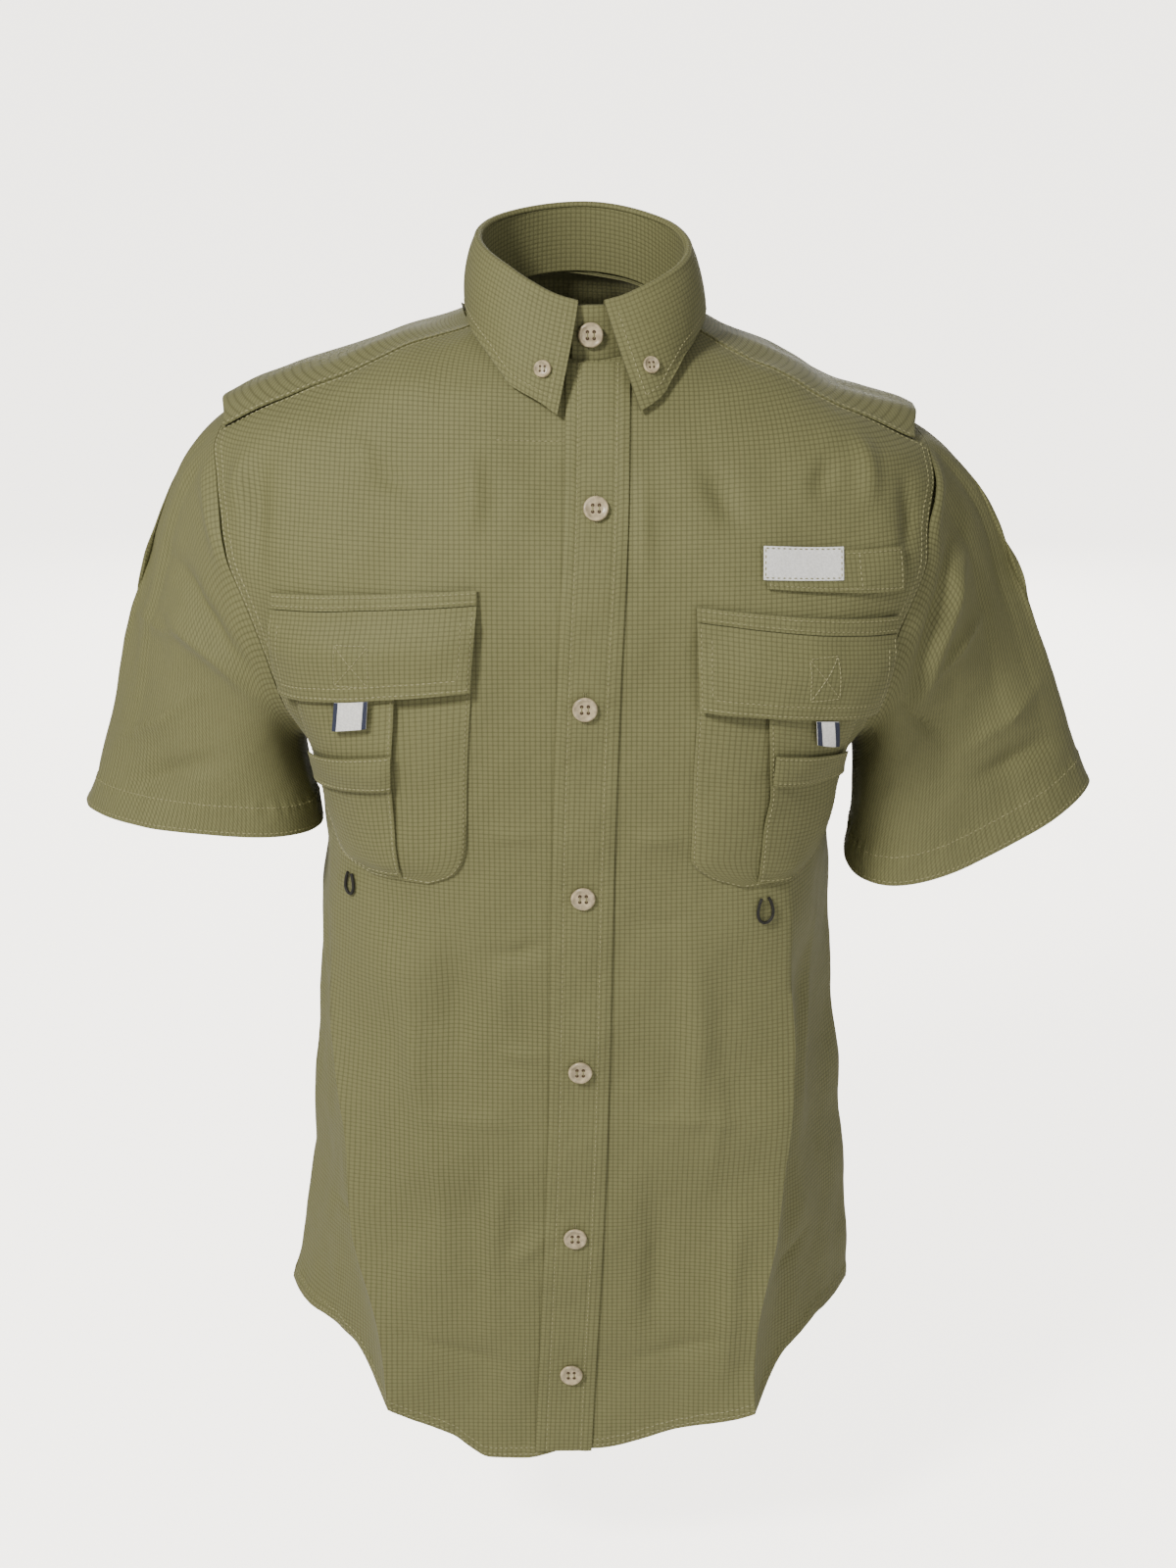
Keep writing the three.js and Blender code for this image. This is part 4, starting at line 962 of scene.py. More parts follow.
def shoulder_edge(radius):
    """The top edge of the back and the cape, from the right armhole round the neck to the left."""
    share = np.linspace(0, 1, STEPS["seam"] + 1)
    right = shoulder_seam(RIGHT, 1 - share[:-1])
    turns = np.linspace(-NECK_CORNER, NECK_CORNER - 360, STEPS["back_neck"] + 1)
    left = shoulder_seam(LEFT, share[1:])
    return np.concatenate([right, neck_point(turns, radius), left])


def flatten_over(p):
    return np.stack([p[..., 0], over_length(p)], -1)


def back(material):
    hem = smooth(HEM, "share", "back")
    s = np.linspace(0, 1, BACK_COLUMNS + 1)
    sides = np.where(s < 0.5, RIGHT, LEFT)
    share = np.abs(2 * s - 1)

    def level(z):
        total = quarter(np.broadcast_to(sides, z.shape), 1, z)[3][..., -1] - SEAM
        distance = share * total
        right = ring_point(RIGHT, 1, distance, z)
        left = ring_point(LEFT, 1, distance, z)
        return np.where((sides < 0)[..., None], right, left)

    t = np.linspace(0, 1, STEPS["lower"] + 1)[:, None]
    lower = level(mix(hem(share)[None, :], UNDERARM_Z, t))
    angles = np.linspace(-math.pi, ARMHOLE["seam"], STEPS["back_arm"] + 1)
    flat = coons(
        flatten_over(lower[-1]),
        flatten_over(shoulder_edge(NECK["radius"] + SEAM)),
        flatten_over(armhole_point(RIGHT, angles)),
        flatten_over(armhole_point(LEFT, angles)),
    )
    upper = np.stack([over_point(row[:, 0], row[:, 1]) for row in flat])
    places = np.concatenate([lower, upper[1:]])
    normal = normals_at(places)
    outer = places + normal * (fold_height(places) + hem_height(places, "first", HEM_FOLD["body"]))[..., None]
    stitches("back", [edge_row(outer, normal, "first", inset) for inset in BODY_HEM_ROWS])
    return shell("back_cloth", outer, normal, WALL, material, weave=body_places(1, places))


CAPE = {"rows": 48, "corner": -1.75, "inset": 7, "free_from": 0.35, "free_over": 0.4, "even": 1.06}
CAPE_LIFT = {"seam": 0.3, "seam_over": 30, "low": 2.6, "end": 6, "end_from": 140, "end_over": 60,
             "hem": 4.5, "hem_over": 150, "fold_share": 0.6}


def cape(material):
    s = np.linspace(0, 1, BACK_COLUMNS + 1)
    t = np.linspace(0, 1, CAPE["rows"] + 1)
    share = np.abs(2 * s - 1)
    sides = np.where(s < 0.5, RIGHT, LEFT)

    def side_edge(side):
        flat = flatten_over(armhole_point(side, mix(CAPE["corner"], ARMHOLE["seam"], t)))
        free = ease((t - CAPE["free_from"]) / CAPE["free_over"])
        flat[:, 0] = mix(flat[:, 0] - side * CAPE["inset"], side * CAPE_END[side], free)
        return flat

    ends = [side_edge(RIGHT), side_edge(LEFT)]
    corner = np.where((sides < 0)[:, None], ends[0][0], ends[1][0])
    reach = share ** CAPE["even"]
    middle = stack(0.0, surface_y(1, np.array(0.0), CAPE_HEM_Z), CAPE_HEM_Z)
    low = over_length(middle[None])[0]
    bottom = np.stack([sides * np.abs(corner[:, 0]) * reach, mix(low, corner[:, 1], reach ** 3)], -1)
    top = flatten_over(shoulder_edge(NECK["radius"] + SEAM))
    seam_share = STEPS["seam"] / BACK_COLUMNS
    outward = ease((share - 1 + 2 * seam_share) / (2 * seam_share)) ** 4
    end_x = np.where(sides < 0, RIGHT * CAPE_END[RIGHT], CAPE_END[LEFT])
    top[:, 0] = mix(top[:, 0], end_x, outward)
    flat = coons(bottom, top, ends[0], ends[1])
    places = np.stack([over_point(row[:, 0], row[:, 1]) for row in flat])
    lift = CAPE_LIFT["low"] + CAPE_LIFT["end"] * ease(
        (np.abs(flat[..., 0]) - CAPE_LIFT["end_from"]) / CAPE_LIFT["end_over"])
    lift = lift + CAPE_LIFT["hem"] * ease(flat[..., 1] / CAPE_LIFT["hem_over"])
    normal = normals_at(places)
    close = mix(CAPE_LIFT["seam"], 1, ease(distance_from(places, "last") / CAPE_LIFT["seam_over"]))
    lift = lift * close + hem_height(places, "first", HEM_FOLD["cape"]) * CAPE_LIFT["fold_share"]
    outer = places + normal * (fold_height(places) + lift)[..., None]
    stitches("back_cape", [
        edge_row(outer, normal, "first", HEM_FOLD["cape"], 1),
        edge_row(outer, normal, "last", 2, 2),
    ])
    return shell("back_cape_cloth", outer, normal, WALL, material, weave=body_places(1, places))


SLEEVE = {"rows": 96, "round": 168, "crowd": 1.3, "reach_top": 228, "reach_under": 40, "fall_top": 219,
          "fall_under": 50, "inward_under": 0.25, "outward_under": 0.85, "flare": 0.49}


def sleeve_rings(side):
    """The smooth sleeve as rings of points from the armhole to the hem."""
    outer_point, front_point, inner_point, back_point = (np.array(p, float) for p in CUFFS[side])
    middle = (outer_point + front_point + inner_point + back_point) / 4
    across = (outer_point + inner_point) / 2
    outward = outer_point - across
    forward = (front_point - back_point) / 2
    angle = np.linspace(-math.pi, math.pi, SLEEVE["round"] + 1)[:-1]
    hem = middle + np.cos(angle)[:, None] * outward + np.sin(angle)[:, None] * forward
    hem = hem + np.cos(2 * angle)[:, None] * (across - middle)
    point = armhole_point(side, angle)
    around = unit(armhole_point(side, angle + 0.02) - armhole_point(side, angle - 0.02))
    normal = normals_at(point)
    inward = side * unit(np.cross(normal, around))
    point = point + inward * SEAM
    up = ((1 + np.cos(angle)) / 2)[:, None]
    sideways = np.concatenate([side * SLEEVE["outward_under"] * (1 - up), 0 * up, 0 * up], 1)
    leave = unit(sideways + inward * mix(SLEEVE["inward_under"], 1, up))
    reach = mix(SLEEVE["reach_under"], SLEEVE["reach_top"], up)
    fall = mix(SLEEVE["fall_under"], SLEEVE["fall_top"], up)
    arrive = unit(np.concatenate([side * SLEEVE["flare"] * up, 0 * up, -np.ones_like(up)], 1))
    t = (np.linspace(0, 1, SLEEVE["rows"] + 1) ** SLEEVE["crowd"])[:, None, None]
    late = 3 * t ** 2 - 2 * t ** 3
    curve = (1 - late) * point + (t ** 3 - 2 * t ** 2 + t) * reach * leave
    return curve + late * hem + (t ** 3 - t ** 2) * fall * arrive


# Folds of the sleeves, each through places given by the share of the way down and the angle from the
# top, more towards the front
SLEEVE_FOLDS = {RIGHT: table("kind wide high places", [
    ("soft", 6.4, 5, [(0.12, 30), (0.1, 55), (0.06, 85)]),
    ("soft", 7.2, -6.2, [(0.46, 25), (0.38, 68), (0.34, 92), (0.27, 125)]),
    ("soft", 6.4, 5, [(0.56, 30), (0.5, 70), (0.42, 100), (0.38, 130)]),
    ("sharp", 5, 4.2, [(0.65, -10), (0.57, 53), (0.45, 87)]),
    ("sharp", 6, 4.8, [(0.89, 5), (0.75, 57), (0.5, 102)]),
    ("soft", 7.2, -4.3, [(0.95, 30), (0.82, 75), (0.7, 110)]),
    ("soft", 7.2, -5.4, [(0.3, -25), (0.4, -70), (0.33, -120)]),
    ("soft", 6.4, 4.7, [(0.62, -15), (0.56, -65), (0.5, -115)]),
    ("sharp", 6, -4.2, [(0.8, -10), (0.78, -60), (0.72, -120)]),
]), LEFT: table("kind wide high places", [
    ("soft", 6.4, -5.7, [(0.22, 38), (0.2, 72), (0.32, 96), (0.46, 118)]),
    ("soft", 6.4, 5, [(0.33, 30), (0.31, 66), (0.42, 90), (0.56, 108)]),
    ("sharp", 5, 4.2, [(0.53, 35), (0.48, 75), (0.43, 104)]),
    ("sharp", 5, -4.2, [(0.22, 130), (0.5, 102), (0.71, 72)]),
    ("sharp", 6, 4.6, [(0.76, -5), (0.75, 42), (0.72, 80)]),
    ("soft", 6.4, -4.3, [(0.88, 5), (0.83, 42), (0.79, 76)]),
    ("soft", 5.6, 4.3, [(0.06, 20), (0.05, 53), (0.12, 72)]),
    ("soft", 7.2, -5.4, [(0.35, -20), (0.42, -75), (0.36, -125)]),
    ("soft", 6.4, 4.7, [(0.6, -15), (0.62, -70), (0.55, -110)]),
    ("sharp", 6, -4.2, [(0.82, -15), (0.8, -70), (0.75, -115)]),
])}


def on_sleeve(base, down, angle):
    """Points of a sleeve's grid by the share of the way down and the angle from the top."""
    row = down * (len(base) - 1)
    column = (angle + 180) / 360 * SLEEVE["round"]
    low = np.floor(row).astype(int)
    near = np.floor(column).astype(int) % SLEEVE["round"]
    far = np.ceil(column).astype(int) % SLEEVE["round"]
    across = (column % 1)[:, None]
    here = mix(base[low, near], base[low, far], across)
    there = mix(base[low + 1, near], base[low + 1, far], across)
    return mix(here, there, (row % 1)[:, None])


def sleeve(side, material):
    name = "sleeve_right" if side == RIGHT else "sleeve_left"
    base = sleeve_rings(side)
    normal = grid_normals(base, looped=True) * side
    height = unevenness(base) + hem_height(base, "last", HEM_FOLD["sleeve"])
    for fold in SLEEVE_FOLDS[side]:
        line = on_sleeve(base, *close_steps(fold["places"]))
        crease = along_line(base.reshape(-1, 3), line, fold["kind"], fold["wide"], fold["high"])
        height = height + crease.reshape(height.shape)
    outer = base + normal * height[..., None]
    obj = shell(f"{name}_cloth", outer, normal, WALL, material, looped=True)
    ring = np.concatenate([outer, outer[:, :1]], 1)
    turned = np.concatenate([normal, normal[:, :1]], 1)
    stitches(name, [edge_row(ring, turned, "last", inset) for inset in SLEEVE_HEM_ROWS])
    return obj


# Collar
STAND = {"thick": 1.3, "start": -366, "end": 18, "lean": 1.5, "overlap": 3.1, "below": 1.2, "steps": 300,
         "rows": 18}
LEAF = {"thick": 1.3, "fold_radius": 61.4, "clear": 7, "bow": 2.2, "start": -349, "end": -3, "columns": 260,
        "rows": 30, "roll_rows": 12, "roll_turn": 1.15, "roll_high": 0.8, "stitch": 6,
        "held_from": 0.4, "held_over": 0.3, "swell": 0.5}
fold_z = smooth(COLLAR, "azimuth", "fold")
leaf_edge = [smooth(COLLAR, "azimuth", column) for column in ("edgeAzimuth", "edgeRadius", "edge")]


def on_collar(azimuth, radius, z):
    """A place round the neck."""
    turn = np.radians(azimuth)
    return stack(NECK["x"] + radius * np.sin(turn), NECK["y"] - radius * np.cos(turn), z)


def collar_stand(material):
    azimuth = np.linspace(STAND["start"], STAND["end"], STAND["steps"] + 1)
    base = NECK["radius"] - STAND["overlap"] * ease((azimuth + 25) / 30)
    bottom = neck_point(azimuth, base)[:, 2] + SEAM
    top = fold_z(np.clip(azimuth, LEAF["start"], LEAF["end"])) - STAND["below"]
    t = np.linspace(0, 1, STAND["rows"])[:, None]
    outer = on_collar(azimuth[None], base - STAND["lean"] * t, mix(bottom, top, t))
    normal = unit(outer - on_collar(azimuth[None], 0.0 * t, mix(bottom, top, t)))
    return shell("collar_stand_cloth", outer, normal, STAND["thick"], material)


def leaf_point(azimuth, drop, off=0.0):
    """A place on the leaf by azimuth and by the share of the way from its fold to its edge."""
    azimuth, drop = np.broadcast_arrays(np.asarray(azimuth, float), np.asarray(drop, float))
    edge_azimuth, edge_radius, edge = (curve(azimuth) for curve in leaf_edge)
    bow = LEAF["bow"] * np.sin(math.pi * drop)
    radius = mix(LEAF["fold_radius"], edge_radius, drop) + bow + off
    point = on_collar(mix(azimuth, edge_azimuth, drop), radius, mix(fold_z(azimuth), edge, drop))
    lowest = surface_z(point[..., 0], point[..., 1]) + LEAF["clear"]
    held = ease((drop - LEAF["held_from"]) / LEAF["held_over"])
    point[..., 2] = mix(point[..., 2], np.maximum(point[..., 2], lowest), held)
    return point


def collar_leaf(material):
    azimuth = np.linspace(LEAF["start"], LEAF["end"], LEAF["columns"] + 1)
    inside = NECK["radius"] - STAND["lean"] - STAND["thick"] - 0.5
    outside = LEAF["fold_radius"] + LEAF["thick"]
    middle, half = (inside + outside) / 2, (outside - inside) / 2
    turn = np.linspace(math.pi * LEAF["roll_turn"], 0, LEAF["roll_rows"])[:-1, None]
    roll_z = fold_z(azimuth) + half * LEAF["roll_high"] * np.sin(turn)
    roll = on_collar(azimuth[None], middle + half * np.cos(turn), roll_z)
    drop = np.linspace(0, 1, LEAF["rows"])[:, None]
    fall = leaf_point(azimuth[None], drop, LEAF["thick"])
    outer = np.concatenate([roll, fall])
    normal = grid_normals(outer)
    centre = np.array([NECK["x"], NECK["y"], 0.0])
    last = outer[-1] - centre
    if (normal[-1] * last).sum() < 0:
        normal = -normal
    outer[len(roll):] += normal[len(roll):] * leaf_swell(fall, drop)[..., None]
    inset = LEAF["stitch"]
    stitches("collar_leaf", [edge_row(outer, normal, "last", inset, inset)] + [
        edge_row(outer[len(roll):], normal[len(roll):], edge, inset, inset) for edge in ("left", "right")])
    return shell("collar_leaf_cloth", outer, normal, LEAF["thick"], material)


def leaf_swell(fall, drop):
    """The leaf is a little fuller inside its edge stitching and soft between its ends."""
    inside = ease((1 - drop) * 4) * ease(drop * 6)
    return LEAF["swell"] * (inside + unevenness(fall) * drop)


PLACKET = {"thick": 1.2, "rows": 420, "columns": 26, "below_neck": 2.5, "off": 1.5, "full": 0.7, "edge": 0.12,
           "stitch": 7, "groove": 2.2, "groove_deep": 0.35, "groove_waver": 0.2, "waver": 2.1}


def placket(material):
    """The front band, with a shallow groove along both rows of stitches."""
    start = neck_point(np.array([neck_azimuth(float(band_x(NECK_FRONT_Z)))]))[0, 2]
    low = HEM[0]["right"]
    z = np.linspace(low, start - PLACKET["below_neck"], PLACKET["rows"])[:, None]
    s = np.linspace(0, 1, PLACKET["columns"])[None, :]
    x = band_x(z) + BAND_WIDTH * (s - 0.5)
    places = stack(x, surface_y(-1, x, z), np.broadcast_to(z, x.shape))
    normal = normals_at(places)
    inset = np.minimum(s, 1 - s)
    run = (low - z) / PLACKET["waver"]
    groove = np.exp(-((inset * BAND_WIDTH - PLACKET["stitch"]) / PLACKET["groove"]) ** 2)
    deep = PLACKET["groove_deep"] + PLACKET["groove_waver"] * np.sin(run + 2 * np.sin(run / 5))
    off = PLACKET["off"] + PLACKET["full"] * ease(inset / PLACKET["edge"]) - groove * deep
    outer = places + normal * (fold_height(places) + off)[..., None]
    stitches("placket", [edge_row(outer, normal, edge, PLACKET["stitch"], 1) for edge in ("left", "right")])
    return shell("placket_cloth", outer, normal, PLACKET["thick"], material)


# Pieces that lie on a front, each as rows of an outer and an inner edge point, with the height of
# their face over the cloth at the top, the bottom, the outer edge, the middle and the inner edge
OUTLINE = "x_outer z_outer x_inner z_inner"
LAID = {
    "pocket_right": ((1.4, 1.3, 1.3, 5.2, 1.3), 0.7, [
        (-166, -203, -59, -190), (-153.5, -262, -62.5, -245), (-148.5, -292, -64, -297),
        (-139, -314, -70, -313), (-120, -321.5, -86, -321.5)]),
    "side_pocket_right": ((5.6, 2.9, 3.7, 7.6, 6.9), 0.7, [
        (-161, -206, -102, -195), (-150.5, -260, -103.5, -256), (-145.5, -290, -103, -281),
        (-134, -313, -101, -312), (-121, -318.5, -101, -318.5)]),
    "pocket_band_right": ((9, 10, 8, 10, 8), 0.7, [
        (-151.5, -246.5, -103, -238), (-148.5, -268.5, -103.5, -260.5)]),
    "flap_right": ((3.4, 9.8, 6, 10.5, 6), 1.0, [
        (-172.5, -162, -56, -153), (-172, -187, -58, -177), (-169, -213, -60, -200.5)]),
    "flap_strip_right": ((2.6, 3.2, 2.8, 3.2, 2.8), 0.9, [
        (-172, -152.5, -56, -144.5), (-172.5, -161.6, -56, -152.6)]),
    "flap_tab_right": ((9.6, 10.4, 9.8, 10.2, 9.8), 0.6, [
        (-133.5, -209.3, -115.5, -207.2), (-134.5, -225.5, -116.2, -222.5)]),
    "pocket_left": ((1.4, 1.3, 1.3, 5.2, 1.3), 0.7, [
        (163, -211, 67.5, -200), (155, -258, 65, -258), (151, -290, 64.6, -303),
        (140, -316, 73, -315), (122, -326, 94, -324)]),
    "side_pocket_left": ((5.6, 2.9, 3.7, 7.6, 6.9), 0.7, [
        (159, -214, 106, -203), (152, -258, 107, -261), (148, -290, 103.7, -286),
        (135.5, -316, 102, -316), (119, -323.5, 102, -322.5)]),
    "pocket_band_left": ((9, 10, 8, 10, 8), 0.7, [
        (152, -246.5, 109.6, -239.5), (150.5, -264.5, 108, -257.5)]),
    "flap_left": ((3.4, 9.8, 6, 10.5, 6), 1.0, [
        (180.5, -179.5, 66, -162.5), (175, -201, 66.7, -186), (169, -224, 67.5, -212)]),
    "flap_strip_left": ((2.6, 3.2, 2.8, 3.2, 2.8), 0.9, [
        (182, -169, 65.7, -154), (181, -179.2, 66, -162.1)]),
    "flap_tab_left": ((9.6, 10.4, 9.8, 10.2, 9.8), 0.6, [
        (143, -221.9, 131, -220.3), (144, -238.2, 131.8, -234.6)]),
    "rod_tab": ((1.9, 2.4, 2, 2.4, 2), 0.8, [
        (182.5, -129.5, 101, -124.3), (183.6, -154.3, 105, -145.2)]),
    "label": ((3.1, 3.1, 3.1, 3.1, 3.1), 0.6, [
        (148, -125.7, 102.2, -122.8), (148, -143.3, 102.2, -140.3)]),
}


# Grid step and least steps of a laid piece, and how full its face is between its edges
LAID_STEP = 1.9
LAID_LEAST = 6
LAID_ROUND = 0.45


def laid(name, material):
    """A piece laid on a front, from its row in LAID."""
    (top, bottom, outside, middle, inside), thick, rows = LAID[name]
    rows = [dict(row, step=i / (len(rows) - 1)) for i, row in enumerate(table(OUTLINE, rows))]
    curves = [smooth(rows, "step", column) for column in OUTLINE.split()]
    width = math.hypot(rows[0]["x_outer"] - rows[0]["x_inner"], rows[0]["z_outer"] - rows[0]["z_inner"])
    height = sum(math.hypot(a["x_inner"] - b["x_inner"], a["z_inner"] - b["z_inner"])
                 for a, b in zip(rows, rows[1:]))
    s = np.linspace(0, 1, max(LAID_LEAST, int(width / LAID_STEP)))[None, :]
    t = np.linspace(0, 1, max(LAID_LEAST, int(height / LAID_STEP)))[:, None]
    x_outer, z_outer, x_inner, z_inner = (curve(t) for curve in curves)
    x = mix(x_outer, x_inner, s)
    z = mix(z_outer, z_inner, s)
    places = stack(x, surface_y(-1, x, z), z)
    around = (4 * s * (1 - s)) ** LAID_ROUND
    rise = np.where(t < 0.5, mix(top, middle, ease(2 * t)), mix(middle, bottom, ease(2 * t - 1)))
    height = mix(np.minimum(mix(outside, inside, s), rise), rise, around)
    normal = normals_at(places)
    outer = places + normal * (fold_height(places) + height)[..., None]
    if name in EDGE_ROWS:
        rows = [edge_row(outer, normal, edge, inset, trim) for edge, inset, trim in EDGE_ROWS[name]]
        stitches(name, rows + [on_piece(row, places, outer) for row in BOX_ROWS.get(name, [])])
    if name.startswith("flap_tab"):
        tab_stripes(name, outer, normal)
    return shell(f"{name}_cloth", outer, normal, thick, material)


STRIPE = {"share": 0.2, "off": 0.12, "thick": 0.1}


def tab_stripes(name, outer, normal):
    """A dark woven stripe along both edges of a flap tab."""
    wide = max(1, int(STRIPE["share"] * outer.shape[1]))
    for number, part in enumerate((slice(0, wide + 1), slice(-wide - 1, None)), 1):
        up = normal[:, part]
        face = outer[:, part] + up * STRIPE["off"]
        stripe = shell(f"{name}_stripe_{number}", face, up, STRIPE["thick"], NAVY)
        add_piece(stripe, [])


# Rows of stitches on the laid pieces: edge, distance from it and what is cut off at the ends
THREE_SIDES = [("left", 2, 2), ("right", 2, 2), ("last", 2, 2)]
EDGE_ROWS = {
    "label": [("left", 1.2, 1), ("right", 1.2, 1), ("first", 1.2, 1), ("last", 1.2, 1)],
    "rod_tab": [("first", 2.2, 2), ("last", 2.2, 2), ("left", 2.2, 2), ("right", 2.2, 2), ("left", 30, 2)],
}
for side_word in ("right", "left"):
    EDGE_ROWS[f"pocket_{side_word}"] = THREE_SIDES
    EDGE_ROWS[f"side_pocket_{side_word}"] = THREE_SIDES
    EDGE_ROWS[f"pocket_band_{side_word}"] = [("first", 1.8, 1), ("last", 1.8, 1)]
    EDGE_ROWS[f"flap_{side_word}"] = THREE_SIDES + [("left", 8, 8), ("right", 8, 8), ("last", 8, 8)]
    EDGE_ROWS[f"flap_strip_{side_word}"] = [("first", 2, 1), ("last", 2, 1)]


def box_rows(left, right, top, bottom):
    """Rows of a stitched box with a cross in it."""
    corners = [(left, top), (right, top), (right, bottom), (left, bottom), (left, top), (right, bottom)]
    return [corners[i:i + 2] for i in range(5)] + [[(right, top), (left, bottom)]]


BOX_ROWS = {
    "flap_right": box_rows(-133, -115, -176, -199),
    "flap_left": box_rows(127, 143, -184, -208),
}


BOX_STITCH = {"steps": 14, "off": 1.01, "trim": 0.5, "pitch": 2.6}


def on_piece(row, places, outer):
    """A straight row of stitches over a laid piece, between two places given by x and z."""
    (x1, z1), (x2, z2) = row
    x, z = np.linspace(x1, x2, BOX_STITCH["steps"]), np.linspace(z1, z2, BOX_STITCH["steps"])
    spots = stack(x, surface_y(-1, x, z), z)
    flat = places.reshape(-1, 3)
    offset = (outer - places).reshape(-1, 3)
    nearest = [np.argmin(((flat - spot) ** 2).sum(1)) for spot in spots]
    line = spots + offset[nearest] * BOX_STITCH["off"]
    return stitch_row(line, normals_at(spots), BOX_STITCH["trim"], BOX_STITCH["pitch"])


# Elastic loops, on the same route as in the model
LOOPS = {
    "pocket_loop_right": {"x": -132.5, "z": -322, "drop": 17, "half": 3.2},
    "pocket_loop_left": {"x": 106, "z": -327.5, "drop": 20, "half": 5.5},
}
LOOP_RADIUS = 0.9
LOOP_STEPS = 22
LOOP_OPEN = 0.16
LOOP_ROUND = 0.6
LOOP_OFF = 0.4 + LOOP_RADIUS + 0.4


def loop_route(loop):
    turn = np.linspace(LOOP_OPEN, 1 - LOOP_OPEN, LOOP_STEPS) * 2 * math.pi
    down = (1 - np.cos(turn)) / 2
    x = loop["x"] + loop["half"] * np.sin(turn) * down ** LOOP_ROUND
    z = loop["z"] - loop["drop"] * down
    places = stack(x, surface_y(-1, x, z), z)
    return places + normals_at(places) * (LOOP_OFF + fold_height(places))[..., None]


def pocket_loop(name, loop, material):
    route = loop_route(loop)
    curve = bpy.data.curves.new(f"{name}_cord", "CURVE")
    curve.dimensions = "3D"
    spline = curve.splines.new("POLY")
    spline.points.add(len(route) - 1)
    for point, place in zip(spline.points, route):
        point.co = (*(place * MM), 1)
    curve.bevel_depth = LOOP_RADIUS * MM
    curve.bevel_resolution = 4
    curve.use_fill_caps = True
    curve.materials.append(material)
    obj = new_object(f"{name}_cord", curve)
    add_piece(obj, [name])
    return obj


# Buttons
BUTTON = {"wide": 14.2, "small": 9.8, "thick": 2.4, "floor": 0.66, "hole": 0.15, "spacing": 0.26,
          "sides": 40, "hole_sides": 16}
# Half of a button's section, in shares of its radius and its thickness
BUTTON_PROFILE = [(0, 0), (0.8, 0), (0.93, 0.18), (1, 0.5), (0.97, 0.8), (0.88, 1), (0.78, 0.93),
                  (0.7, 0.72), (0.5, 0.66), (0, 0.66)]


def button(name, node, wide, place, normal, material):
    r = wide / 2
    t = BUTTON["thick"]
    profile = np.array(BUTTON_PROFILE) * (r, t)
    sides = BUTTON["sides"]
    turn = np.linspace(0, 2 * math.pi, sides, endpoint=False)
    ring = np.stack([np.cos(turn), np.sin(turn)], -1)
    verts = [np.concatenate([ring * radius, np.full((sides, 1), high)], 1) for radius, high in profile]
    verts = np.concatenate(verts)
    faces, _, _ = quads(len(profile), sides, True, 0, sides)
    turned = rotation_to(normal)
    verts = verts @ turned.T + np.asarray(place)
    obj = make_mesh(name, verts, faces, material)
    add_piece(obj, [node])
    button_details(name, r, t * BUTTON["floor"], turned, np.asarray(place))
    return obj


# How deep and how high the dark discs of painted shade in each button hole are, and the size of their thread
# in shares of the radius
HOLE_DEEP = 0.3
HOLE_HIGH = 0.03
BUTTON_THREAD = {"wide": 0.13, "long": 2.3, "off": 0.1}


def button_details(name, r, floor, turned, place):
    """Four near-black discs of painted shade, one in each hole of the button, and the thread through the
    button.
    """
    turn = np.linspace(0, 2 * math.pi, BUTTON["hole_sides"], endpoint=False)
    ring = np.stack([np.cos(turn), np.sin(turn)], -1) * BUTTON["hole"] * r
    verts, faces = [], []
    centres = [(a * r * BUTTON["spacing"], b * r * BUTTON["spacing"]) for a in (-1, 1) for b in (-1, 1)]
    for centre in centres:
        first = sum(len(part) for part in verts)
        for radius, high in ((0, -HOLE_DEEP), (1, -HOLE_DEEP), (1, HOLE_HIGH), (0, HOLE_HIGH)):
            flat = ring * radius + np.array(centre)
            verts.append(np.concatenate([flat, np.full((len(turn), 1), floor + high)], 1))
        quad_faces, _, _ = quads(4, len(turn), True, first, len(turn))
        faces.append(quad_faces)
    verts = np.concatenate(verts) @ turned.T + place
    # Painted shade: dark discs stand in for the shade inside each button hole
    add_piece(make_mesh(f"{name}_painted_hole_shade", verts, np.concatenate(faces), BUTTON_HOLE_PAINTED_SHADE), [])
    up = turned[:, 2]
    rows = []
    for a in (-1, 1):
        ends = np.array([(a * r * BUTTON["spacing"], b * r * BUTTON["spacing"], floor + BUTTON_THREAD["off"])
                         for b in (-1, 1)]) @ turned.T + place
        middle = ends.mean(0)[None]
        rows.append((middle, unit(ends[1] - ends[0])[None], up[None]))
    stitches(name, rows, wide=BUTTON_THREAD["wide"] * r, long=BUTTON_THREAD["long"] * r * BUTTON["spacing"])


BUTTONHOLE_STITCH = {"apart": 1.1, "pitch": 1.1, "wide": 0.8, "long": 1.3}


def buttonhole(name, place, along, up, length):
    """Two close rows of thread, which show beyond the button at both ends."""
    across = unit(np.cross(up, along))
    rows = []
    for shift in (-BUTTONHOLE_STITCH["apart"] / 2, BUTTONHOLE_STITCH["apart"] / 2):
        ends = np.array([-length / 2, length / 2])[:, None] * along + place + across * shift
        rows.append(stitch_row(ends, np.array([up, up]), 0, BUTTONHOLE_STITCH["pitch"]))
    stitches(name, rows, wide=BUTTONHOLE_STITCH["wide"], long=BUTTONHOLE_STITCH["long"])


def rotation_to(normal):
    """Rotation that turns +Z to a normal."""
    return np.array(Vector(normal).to_track_quat("Z", "Y").to_matrix())


# Camera, lights and floor
CAMERA = {"y": -1542.1, "z": 230.7, "pitch": 19.0, "lens": 60.75, "shift": 0.00625}


